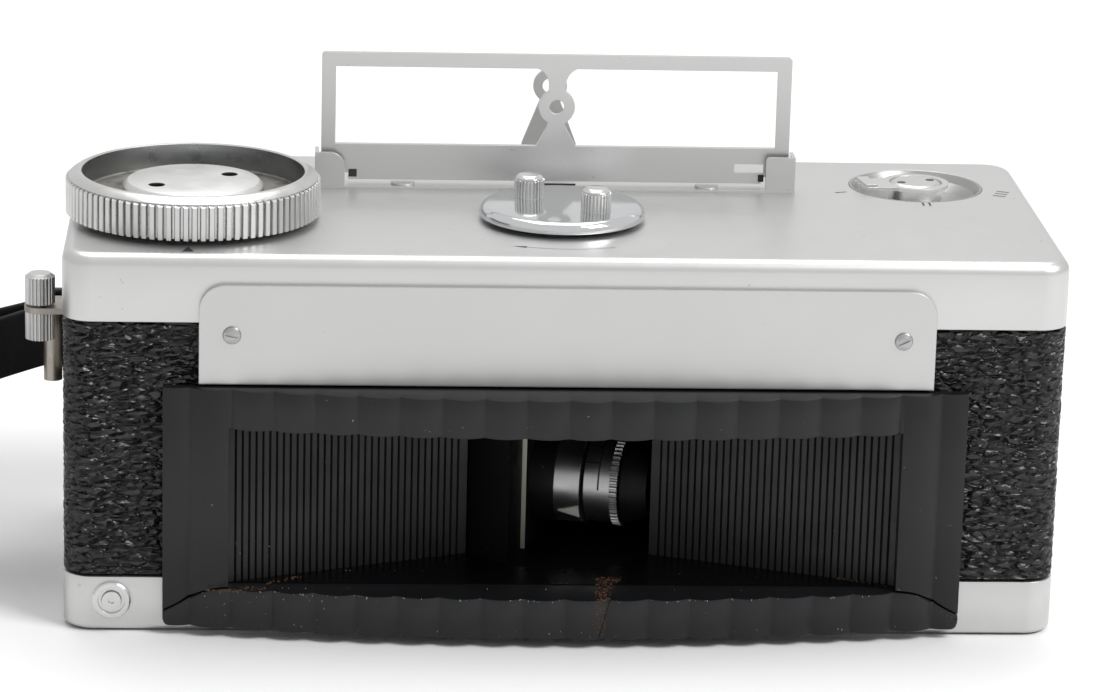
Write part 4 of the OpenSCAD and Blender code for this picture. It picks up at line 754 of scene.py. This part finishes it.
lipHalf, mouthHalf = hornPiece["half"], hornPiece["mouth"]
frameBars = [
    lipBar(hornPiece, -lipHalf, -mouthHalf, partingAt, topAt),
    lipBar(hornPiece, -mouthHalf, mouthHalf, roofAt, topAt),
    lipBar(hornPiece, mouthHalf, lipHalf, partingAt, topAt),
]
hornFrame = addMesh("hornFrame", *joinedParts(frameBars), anodised, sharp=40)
settle(hornFrame, "root", "black_anodised", "horn_frame")
lowerLip = lipBar(hornPiece, -lipHalf, lipHalf, lipBottomAt, lowerLipTop)
lipObject = addMesh("hornLowerLip", *lowerLip, anodised, bareEnd, sharp=40)
lipObject.data.polygons[-1].material_index = 1  # the bare right end
settle(lipObject, "root", "black_anodised", "horn_lower_lip")
print("stage: horn made")


# Node groups share their inputs, their last nodes and the way they are put on a piece
def startGroup(name, inputs):
    group = bpy.data.node_groups.new(name, "GeometryNodeTree")
    sockets = {}
    for label, kind in inputs.items():
        socket = group.interface.new_socket(label, in_out="INPUT", socket_type="NodeSocket" + kind)
        sockets[label] = socket.identifier
    group.interface.new_socket("Geometry", in_out="OUTPUT", socket_type="NodeSocketGeometry")
    return group, sockets, group.nodes.new("NodeGroupInput")


def mathNode(group, operation, *numbers):
    made = group.nodes.new("ShaderNodeMath")
    made.operation = operation
    for socket, number in zip(made.inputs[1:], numbers):
        socket.default_value = number
    return made


def endGroup(group, enter, points, links):
    realize = group.nodes.new("GeometryNodeRealizeInstances")
    finish = group.nodes.new("GeometryNodeSetMaterial")
    leave = group.nodes.new("NodeGroupOutput")
    last = [
        (points, "Instances", realize, "Geometry"), (realize, "Geometry", finish, "Geometry"),
        (enter, "Finish", finish, "Material"), (finish, "Geometry", leave, "Geometry"),
    ]
    for source, output, target, entry in links + last:
        group.links.new(source.outputs[output], target.inputs[entry])


def grownMesh(obj, group, sockets, values):
    modifier = obj.modifiers.new("grown", "NODES")
    modifier.node_group = group
    for label, value in values.items():
        modifier[sockets[label]] = value
    return plainMesh(obj)


# Bars set round a circle by geometry nodes: ribs of the knob and the posts
def barRingGroup():
    inputs = {"Count": "Int", "Radius": "Float", "Bar": "Object", "Finish": "Material"}
    group, sockets, enter = startGroup("barRing", inputs)
    circle = group.nodes.new("GeometryNodeMeshCircle")
    points = group.nodes.new("GeometryNodeInstanceOnPoints")
    info = group.nodes.new("GeometryNodeObjectInfo")
    index = group.nodes.new("GeometryNodeInputIndex")
    share = mathNode(group, "DIVIDE")
    angle = mathNode(group, "MULTIPLY", 2 * math.pi)
    turn = group.nodes.new("ShaderNodeCombineXYZ")
    endGroup(group, enter, points, [
        (enter, "Count", circle, "Vertices"), (enter, "Radius", circle, "Radius"),
        (enter, "Bar", info, "Object"), (index, 0, share, 0), (enter, "Count", share, 1),
        (share, 0, angle, 0), (angle, 0, turn, "Z"), (circle, "Mesh", points, "Points"),
        (info, "Geometry", points, "Instance"), (turn, 0, points, "Rotation"),
    ])
    return group, sockets


barGroup, barSockets = barRingGroup()


ribShape = {"root": -0.6, "shoulder": 0.55, "crown": 0.72}


def ribBar(ribs):
    half, depth = ribs["width"] / 2, ribs["depth"]
    shoulder, crown = depth * ribShape["shoulder"], half * ribShape["crown"]
    side = [(ribShape["root"], half), (shoulder, half), (depth, crown)]
    section = [(a, -b) for a, b in side] + side[::-1]
    verts = [(a, b, 0) for a, b in section]
    verts += [(a, b, ribs["height"] - max(0, a) * ribs["slope"]) for a, b in section]
    return verts, closedFaces(2, len(section))


def barRing(name, ribs, material):
    bar = addMesh(name + "Bar", *ribBar(ribs), material, sharp=30)
    obj = addMesh(name, [(0, 0, 0)], [], material)
    radius = (ribs["radius"] - ribs["depth"]) * mm
    values = {"Count": ribs["count"], "Radius": radius, "Bar": bar, "Finish": material}
    grownMesh(obj, barGroup, barSockets, values)
    bpy.data.objects.remove(bar)
    return obj


def movedMesh(obj, x, y, z):
    obj.data.transform(Matrix.Translation((x * mm, y * mm, z * mm)))
    return obj


# Wind knob
knobPiece = {
    "centre": (-48.65, -7), "low": 51.1, "high": 56.7, "recessFloor": 53.3, "recess": 14.6,
    "outer": 16.7, "bore": 2.0, "steps": 188, "foot": [(1.0, 0), (0.5, 0.3)], "lipEase": 0.12,
    "floorEase": 0.2, "ribLift": 0.15,
    "rim": [(0.5, 1.0), (0.35, 0.75), (0.5, 0.62), (1.0, 0.28), (1.5, 0.06), (1.75, 0)],
    "ribs": {"count": 94, "radius": 16.7, "depth": 0.5, "width": 0.8, "height": 4.75, "slope": 0.8},
}


def makeKnob(piece):
    low, high, r, bore = piece["low"], piece["high"], piece["outer"], piece["bore"]
    recess, floor, steps = piece["recess"], piece["recessFloor"], piece["steps"]
    lipEase, floorEase = piece["lipEase"], piece["floorEase"]
    profile = [(bore, low)] + [(r - inset, low + rise) for inset, rise in piece["foot"]]
    profile += [(r - inset, high - drop) for inset, drop in piece["rim"]] + [(recess + lipEase, high)]
    wallRow = len(profile)
    profile += [
        (recess, high - lipEase), (recess, floor + floorEase), (recess - floorEase, floor), (bore, floor),
    ]
    turnedParts = revolved(profile, piece["centre"], steps)
    body = addMesh("windKnob", *turnedParts, knobMetal, recessMetal, dirtyMetal, sharp=40)
    # the recess wall takes the darker metal as painted shade; the floor takes the dirty metal
    for face in body.data.polygons:
        row = face.index // steps
        face.material_index = 0 if row < wallRow else 1 if row == wallRow else 2
    settle(body, "wind", "satin_metal", "wind_knob")
    ribs = barRing("windKnobRibs", piece["ribs"], knobMetal)
    settle(movedMesh(ribs, *piece["centre"], low + piece["ribLift"]), "wind", "satin_metal")


makeKnob(knobPiece)
capPiece = {
    "centre": (-48.65, -7), "low": 53.3, "high": 55.3, "radius": 9.3,
    "holes": [(-4.7, -3.1), (4.7, 3.1)], "hole": 1.0, "holeEase": 0.1, "holeDeep": 1.4, "holeSteps": 32,
    "rim": [(0, 0.75), (0.06, 0.66), (0.62, 0.06), (0.72, 0)], "steps": 120,
}


def makeCap(piece):
    cx, cy = piece["centre"]
    r, low, high = piece["radius"], piece["low"], piece["high"]
    hole, ease = piece["hole"], piece["holeEase"]
    profile = [(r, low)] + [(r - inset, high - drop) for inset, drop in piece["rim"]]
    work = bmesh.new()
    loops = [circleVerts(work, (cx, cy), radius, z, piece["steps"]) for radius, z in profile]
    bridgedFaces(work, loops)
    rim = loopEdges(work, loops[-1])
    for hx, hy in piece["holes"]:
        rings = [
            circleVerts(work, (cx + hx, cy + hy), radius, high - drop, piece["holeSteps"])
            for radius, drop in ((hole + ease, 0), (hole, ease), (hole, piece["holeDeep"]))
        ]
        # painted shade: the holes' walls and floors take the dark steel
        for face in bridgedFaces(work, rings) + [work.faces.new(rings[-1])]:
            face.material_index = 1
        rim += loopEdges(work, rings[0])
    bmesh.ops.triangle_fill(work, use_beauty=True, edges=rim, normal=(0, 0, 1))
    return meshFrom(work, "windCap", capMetal, darkSteel, sharp=35)


settle(makeCap(capPiece), "wind", "steel", "wind_cap")

# Cocking disc and its two knurled posts; their middles close to a point's width
middle = 0.01
discPiece = {
    "centre": (0, -7), "low": 51.0, "high": 52.6, "radius": 11.0, "ease": 1.1, "easeSteps": 8,
    "foot": [(0.5, 0), (0.1, 0.12), (0, 0.3)], "steps": 160,
}


def makeDisc(piece):
    r, low, high = piece["radius"], piece["low"], piece["high"]
    edge = easedArc(piece["ease"], piece["easeSteps"])[1:]
    profile = [(middle, low)] + [(r - inset, low + rise) for inset, rise in piece["foot"]]
    profile += [(r - inset, high - drop) for inset, drop in edge] + [(middle, high)]
    return addMesh("cockingDisc", *revolved(profile, piece["centre"], piece["steps"]), discMetal, sharp=30)


settle(makeDisc(discPiece), "turret", "bright_metal", "cocking_disc")
postPiece = {
    "centre": (0, -7), "circle": 5.5, "turns": (140, -40), "low": 52.6, "high": 55.7, "radius": 2.0,
    "steps": 52, "neck": 0.2, "rim": [(0.2, 0.55), (0.16, 0.4), (0.5, 0.05), (0.62, 0)],
    "ribs": {"count": 26, "radius": 2.0, "depth": 0.2, "width": 0.3, "height": 2.6, "slope": 0.9},
}


def makePosts(piece):
    r, low, high = piece["radius"], piece["low"], piece["high"]
    profile = [(r - piece["neck"], low)] + [(r - inset, high - drop) for inset, drop in piece["rim"]]
    profile.append((middle, high))
    places = [onCircle(piece["centre"], piece["circle"], math.radians(turn)) for turn in piece["turns"]]
    bodies = joinedParts([revolved(profile, place, piece["steps"]) for place in places])
    settle(addMesh("cockingPosts", *bodies, bright, sharp=30), "turret", "bright_metal", "cocking_posts")
    for k, place in enumerate(places):
        ribs = barRing(f"cockingPostRibs{k + 1}", piece["ribs"], bright)
        settle(movedMesh(ribs, *place, low), "turret", "bright_metal")


makePosts(postPiece)
print("stage: knob, disc and posts made")

# Marks on the top: an index triangle, an arc with an arrowhead, speed strokes and a dark strip at the foot of
# the finder base
markPiece = {
    "height": 50.52, "triangle": [(-49.71, -26.05), (-48.12, -25.98), (-48.91, -23.59)],
    "arc": {
        "centre": (0, -7), "radius": 15.8, "from": 250, "to": 293, "width": 0.1, "steps": 24,
        "head": [(0.35, -6.5), (-0.3, 0), (0.45, 0.3)],
    },
    # a dark strip standing upright at the foot of the finder base
    "slot": [(-2, 9.7, 50.92), (2.8, 9.7, 50.92), (2.8, 9.7, 51.2), (-2, 9.7, 51.2)],
    "speeds": [((39.1, 9.33), 200, 1, 1), ((50.04, 3.2), 270, 2, 0.9), ((61.17, 9.42), 340, 3, 1.25)],
    "stroke": (0.85, 0.13),
}


def makeMarks(piece):
    z = piece["height"]
    parts = [([(x, y, z) for x, y in piece["triangle"]], [(0, 1, 2)])]
    arc = piece["arc"]
    centre, radius, half = arc["centre"], arc["radius"], arc["width"] / 2
    turns = np.radians(np.linspace(arc["from"], arc["to"], arc["steps"] + 1))
    verts = [(*onCircle(centre, r, a), z) for a in turns for r in (radius - half, radius + half)]
    parts.append((verts, ringFaces(len(turns), 2, closed=False)))
    points = [
        (*onCircle(centre, radius + out, math.radians(arc["from"] + offset)), z)
        for out, offset in arc["head"]
    ]
    parts.append((points, [(0, 2, 1)]))
    halfLong, halfWide = piece["stroke"]
    for (x, y), turn, strokes, apart in piece["speeds"]:
        a = math.radians(turn)
        out, along = np.array([math.cos(a), math.sin(a)]), np.array([-math.sin(a), math.cos(a)])
        for k in range(strokes):
            spot = np.array([x, y]) + along * apart * (k - (strokes - 1) / 2)
            ends = ((-1, -1), (1, -1), (1, 1), (-1, 1))
            corners = [spot + out * s * halfLong + along * t * halfWide for s, t in ends]
            parts.append(([(*corner, z) for corner in corners], [(0, 1, 2, 3)]))
    parts.append((piece["slot"], [(0, 1, 2, 3)]))
    return addMesh("topMarks", *joinedParts(parts), ink)


settle(makeMarks(markPiece), "root", "black_paint")
# Dark notches beside the finder's ears
notchPiece = {
    "left": [(-28.06, 9.64, 52.89), (-26.95, 9.64, 52.89), (-26.95, 9.64, 51.83), (-28.06, 9.64, 51.83)],
    "right": [(27.68, 9.64, 52.73), (28.46, 9.64, 52.73), (28.46, 9.64, 51.75), (27.68, 9.64, 51.75)],
}
notches = joinedParts([(notchPiece[side], [(3, 2, 1, 0)]) for side in ("left", "right")])
settle(addMesh("finderNotches", *notches, ink), "finder", "black_paint")

# Scale lines engraved on the aperture ring: distances along the lens axis and turns above the level
scalePiece = {
    "centre": (0, -7, 15), "along": (0.956304756, -0.292371705, 0), "radius": 5.63, "half": 0.11,
    "axial": [(5.3, 7.2, 40), (5.3, 7.2, 68)], "ring": [(7.2, 2, 84)], "steps": 23,
}


def makeScale(piece):
    along = np.array(piece["along"])
    facing = np.array([along[1], -along[0], 0])

    def spot(distance, turn):
        a = math.radians(turn)
        out = math.cos(a) * facing + math.sin(a) * np.array([0, 0, 1])
        return np.array(piece["centre"]) + distance * along + piece["radius"] * out

    half, halfTurn = piece["half"], math.degrees(piece["half"] / piece["radius"])
    parts = []
    for start, end, turn in piece["axial"]:
        left, right = turn - halfTurn, turn + halfTurn
        corners = [spot(start, left), spot(end, left), spot(end, right), spot(start, right)]
        parts.append((corners, [(0, 1, 2, 3)]))
    for distance, first, last in piece["ring"]:
        turns = np.linspace(first, last, piece["steps"] + 1)
        verts = [spot(distance + side * half, turn) for turn in turns for side in (-1, 1)]
        parts.append((verts, ringFaces(len(turns), 2, closed=False)))
    return addMesh("apertureScale", *joinedParts(parts), ink)


settle(makeScale(scalePiece), "aperture", "black_paint")


# Grains of rust, stain and lint, and a worn edge whose pale specks are partly painted glints, scattered by
# geometry nodes on small patches
grainSpec = {"smallest": 0.35, "largest": 1.5, "turn": 6.28}


def scatterGroup(spec):
    inputs = {
        "Geometry": "Geometry", "Density": "Float", "Grain": "Float", "Seed": "Int", "Long": "Float",
        "Finish": "Material",
    }
    group, sockets, enter = startGroup("scatter", inputs)
    spread = group.nodes.new("GeometryNodeDistributePointsOnFaces")
    grain = group.nodes.new("GeometryNodeMeshIcoSphere")
    grain.inputs["Subdivisions"].default_value = 1
    size = group.nodes.new("FunctionNodeRandomValue")
    size.data_type = "FLOAT"
    size.inputs[2].default_value = spec["smallest"]
    size.inputs[3].default_value = spec["largest"]
    shape = group.nodes.new("ShaderNodeCombineXYZ")
    longer = mathNode(group, "MULTIPLY")
    turn = group.nodes.new("FunctionNodeRandomValue")
    turn.data_type = "FLOAT_VECTOR"
    turn.inputs[1].default_value = (spec["turn"],) * 3
    points = group.nodes.new("GeometryNodeInstanceOnPoints")
    endGroup(group, enter, points, [
        (enter, "Geometry", spread, "Mesh"), (enter, "Density", spread, "Density"),
        (enter, "Seed", spread, "Seed"), (enter, "Grain", grain, "Radius"),
        (spread, "Points", points, "Points"), (grain, "Mesh", points, "Instance"),
        (size, 1, longer, 0), (enter, "Long", longer, 1), (longer, 0, shape, "X"), (size, 1, shape, "Y"),
        (size, 1, shape, "Z"), (shape, 0, points, "Scale"), (turn, 0, points, "Rotation"),
    ])
    return group, sockets


scatter, scatterSockets = scatterGroup(grainSpec)


def scattered(name, piece, material):
    parts = [(patch, [tuple(range(len(patch)))]) for patch in piece["patches"]]
    obj = addMesh(name, *joinedParts(parts), material)
    return grownMesh(obj, scatter, scatterSockets, {
        "Density": piece["density"] / mm ** 2, "Grain": piece["grain"] * mm, "Seed": piece["seed"],
        "Long": piece["long"], "Finish": material,
    })


patchSpec = {"step": 0.25, "off": 0.02}


def lipPatch(x0, x1, low, high):
    spots = np.linspace(x0, x1, int((x1 - x0) / patchSpec["step"]) + 2)
    fronts = np.interp(spots, hornX, hornY) - patchSpec["off"]
    return [
        [(a, ya, low), (b, yb, low), (b, yb, high), (a, ya, high)]
        for a, b, ya, yb in zip(spots, spots[1:], fronts, fronts[1:])
    ]


rustPiece = {
    "density": 9, "grain": 0.08, "seed": 3, "long": 1.5,
    "patches": [
        [(-46.6, -30.5, 6.57), (-46.3, -31.4, 6.57), (-41.9, -31.9, 6.57), (-41.5, -30.6, 6.57)],
        [(-41.9, -30.9, 6.57), (-38.6, -31, 6.57), (-38.4, -29.4, 6.57), (-42, -29.6, 6.57)],
        [(-39.1, -28.6, 6.72), (-38.6, -29.2, 6.72), (-33.8, -25.9, 6.72), (-34.3, -25.3, 6.72)],
        [(35.4, -24.5, 6.72), (35.8, -25, 6.72), (43.2, -28.8, 6.72), (42.8, -28.2, 6.72)],
        [(3.9, -25.3, 6.72), (8.3, -25.2, 6.72), (7.6, -27.2, 6.72), (5, -27.6, 6.72)],
        [(4.4, -27.4, 6.72), (7.4, -27.2, 6.72), (6.4, -29.6, 6.6), (4.4, -30.4, 6.6)],
        [(4.2, -30.2, 6.57), (6.2, -30.2, 6.57), (5.8, -34, 6.57), (3.9, -34, 6.57)],
        [(49.4, -29.75, 3.9), (49.5, -29.75, 3.55), (52, -29.4, 2.4), (52, -29.4, 2.8)],
    ],
}
settle(scattered("rustGrains", rustPiece, rust), "root", "black_anodised")
stainPiece = {
    "density": 26, "grain": 0.045, "seed": 6, "long": 1.5,
    "patches": [
        *lipPatch(3.8, 5.7, 4.4, 6.5), *lipPatch(3.6, 5.4, 2.4, 4.4), *lipPatch(3.9, 5.1, 1.6, 2.4),
    ],
}
settle(scattered("lipStain", stainPiece, stain), "root", "black_anodised")
crackPiece = {"top": (5.9, 6.5), "bottom": (4.5, 1.4), "half": 0.07, "off": 0.03, "steps": 12}


def makeCrack(piece):
    verts = []
    for x, z in np.linspace(piece["top"], piece["bottom"], piece["steps"] + 1):
        y = float(np.interp(x, hornX, hornY)) - piece["off"]
        verts += [(x + piece["half"], y, z), (x - piece["half"], y, z)]
    return addMesh("lipCrack", verts, ringFaces(piece["steps"] + 1, 2, closed=False), cavityBlack)


settle(makeCrack(crackPiece), "root", "black_paint")
lintPiece = {
    "density": 0.3, "grain": 0.035, "seed": 8, "long": 3,
    "patches": [
        [(-43, -30, 6.57), (43, -30, 6.57), (43, -29.5, 6.57), (-43, -29.5, 6.57)],
        [(-30, -23, 6.72), (-10, -23, 6.72), (-14, -24, 6.72), (-36, -24.4, 6.72)],
        [(-42.9, -27.9, 7), (-36, -24.9, 7), (-36, -24.9, 10), (-42.9, -27.9, 13)],
        *lipPatch(-48, -30, 1.8, 6.2), *lipPatch(-30, 46, 1.6, 2.4),
    ],
}
settle(scattered("lintSpecks", lintPiece, lint), "root", "black_anodised")
# worn spots along the lip's top edge; the pale specks are partly painted glints on that edge
wornEdgeGlintPiece = {
    "density": 4, "grain": 0.035, "seed": 5, "long": 3.5, "patches": lipPatch(-43, 44, 6.3, 6.5),
}
settle(scattered("wornEdge", wornEdgeGlintPiece, lint), "root", "black_anodised")
print("stage: marks and deposits made")

# Finishes of the pieces that keep the CAD mesh
cadFinish = {
    satin: [
        "finder_base", "finder_frame", "sight_base", "rear_sight", "speed_lever", "bracket_screw",
        "bracket_nut", "finder_screws",
    ],
    # painted shade: the dish is darker than the hub
    dishMetal: ["speed_dish"],
    hubMetal: ["speed_hub"],
    plateMetal: ["name_plate"],
    bright: ["release_collar", "release_button"],
    lensMetal: ["index_ring", "aperture_ring"],
    bracketMetal: ["side_bracket"],
    darkSteel: ["strap_staple"],
    steel: [
        "base_screws", "name_plate_screws", "back_hinge_leaf", "back_hinge_pin", "back_catch",
        "turret_shaft", "drive_spring", "governor_pinion", "wind_shaft", "ratchet_pawl", "pivot_pins",
        "release_lever", "release_spring",
    ],
    brass: ["tripod_bush", "lower_bearing", "spring_barrel", "turret_gear", "governor_flywheel"],
    blackPaint: ["back_door", "take_up_spool", "lens_barrel", "front_cell", "lens_plate"],
    # painted shade: the pieces inside the cavity are blacker than the black paint
    cavityBlack: ["body_casting", "film_gate", "turret_drum", "slit_tube", "mechanism_plate"],
    blackWall: ["horn_left_wall", "horn_right_wall"],
    blackGloss: ["horn_floor"],
    glass: ["lens_glass"],
}
for material, names in cadFinish.items():
    for name in names:
        nodes[name].data.materials.clear()
        nodes[name].data.materials.append(material)
lensTrim = {"edgeLimit": 0.2, "pointerFrom": 6.05}  # pale edge of the plate, pale pointer of the ring
lensDirection = Vector(scalePiece["along"])
lensCentre = Vector(scalePiece["centre"]) * mm
plateFaces = nodes["lens_plate"].data
plateFaces.materials.append(pale)
for face in plateFaces.polygons:
    face.material_index = 1 if abs(face.normal.dot(lensDirection)) < lensTrim["edgeLimit"] else 0
ringFaceData = nodes["index_ring"].data
ringFaceData.materials.append(pointerPale)
for face in ringFaceData.polygons:
    away = face.center - lensCentre
    away -= away.dot(lensDirection) * lensDirection
    face.material_index = 1 if away.length > lensTrim["pointerFrom"] * mm else 0
print("stage: finishes set")

# Stage: pale floor, white room and soft light from above and in front
stagePiece = {
    "reach": 4000, "drop": -0.2, "floorColor": (0.99, 0.99, 0.99), "room": 0.34, "reflected": 0.8,
}
floorCard = surface({
    "name": "floorCard", "base": stagePiece["floorColor"], "rough": 0.7, "tone": 0.01, "toneScale": 3,
    "specular": 0.2,
})
reach, drop = stagePiece["reach"], stagePiece["drop"]
corners = [(-reach, -reach, drop), (reach, -reach, drop), (reach, reach, drop), (-reach, reach, drop)]
floor = addMesh("floor", corners, [(0, 1, 2, 3)], floorCard)
room = bpy.data.worlds.new("room")
scene.world = room
room.use_nodes = True
roomTree = room.node_tree
background = roomTree.nodes["Background"]
background.inputs["Color"].default_value = (1, 1, 1, 1)
rays = roomTree.nodes.new("ShaderNodeLightPath")
level = roomTree.nodes.new("ShaderNodeMath")
level.operation = "MULTIPLY_ADD"
level.inputs[1].default_value = stagePiece["reflected"] - stagePiece["room"]
level.inputs[2].default_value = stagePiece["room"]
roomTree.links.new(rays.outputs["Is Glossy Ray"], level.inputs[0])
roomTree.links.new(level.outputs[0], background.inputs["Strength"])
lampPieces = [
    {"name": "topLamp", "place": (0, 0.35, 1.1), "aim": (0, 0.1, 0), "size": 0.8, "power": 7.2},
    {"name": "keyLamp", "place": (0.7, -0.5, 0.9), "aim": (0, 0, 0.02), "size": 0.5, "power": 9.4},
]
for piece in lampPieces:
    data = bpy.data.lights.new(piece["name"], "AREA")
    data.size = piece["size"]
    data.energy = piece["power"]
    lamp = bpy.data.objects.new(piece["name"], data)
    lamp.location = piece["place"]
    towards = Vector(piece["aim"]) - Vector(piece["place"])
    lamp.rotation_euler = towards.to_track_quat("-Z", "Y").to_euler()
    scene.collection.objects.link(lamp)
scene.view_settings.view_transform = "Standard"
print("stage: light set")
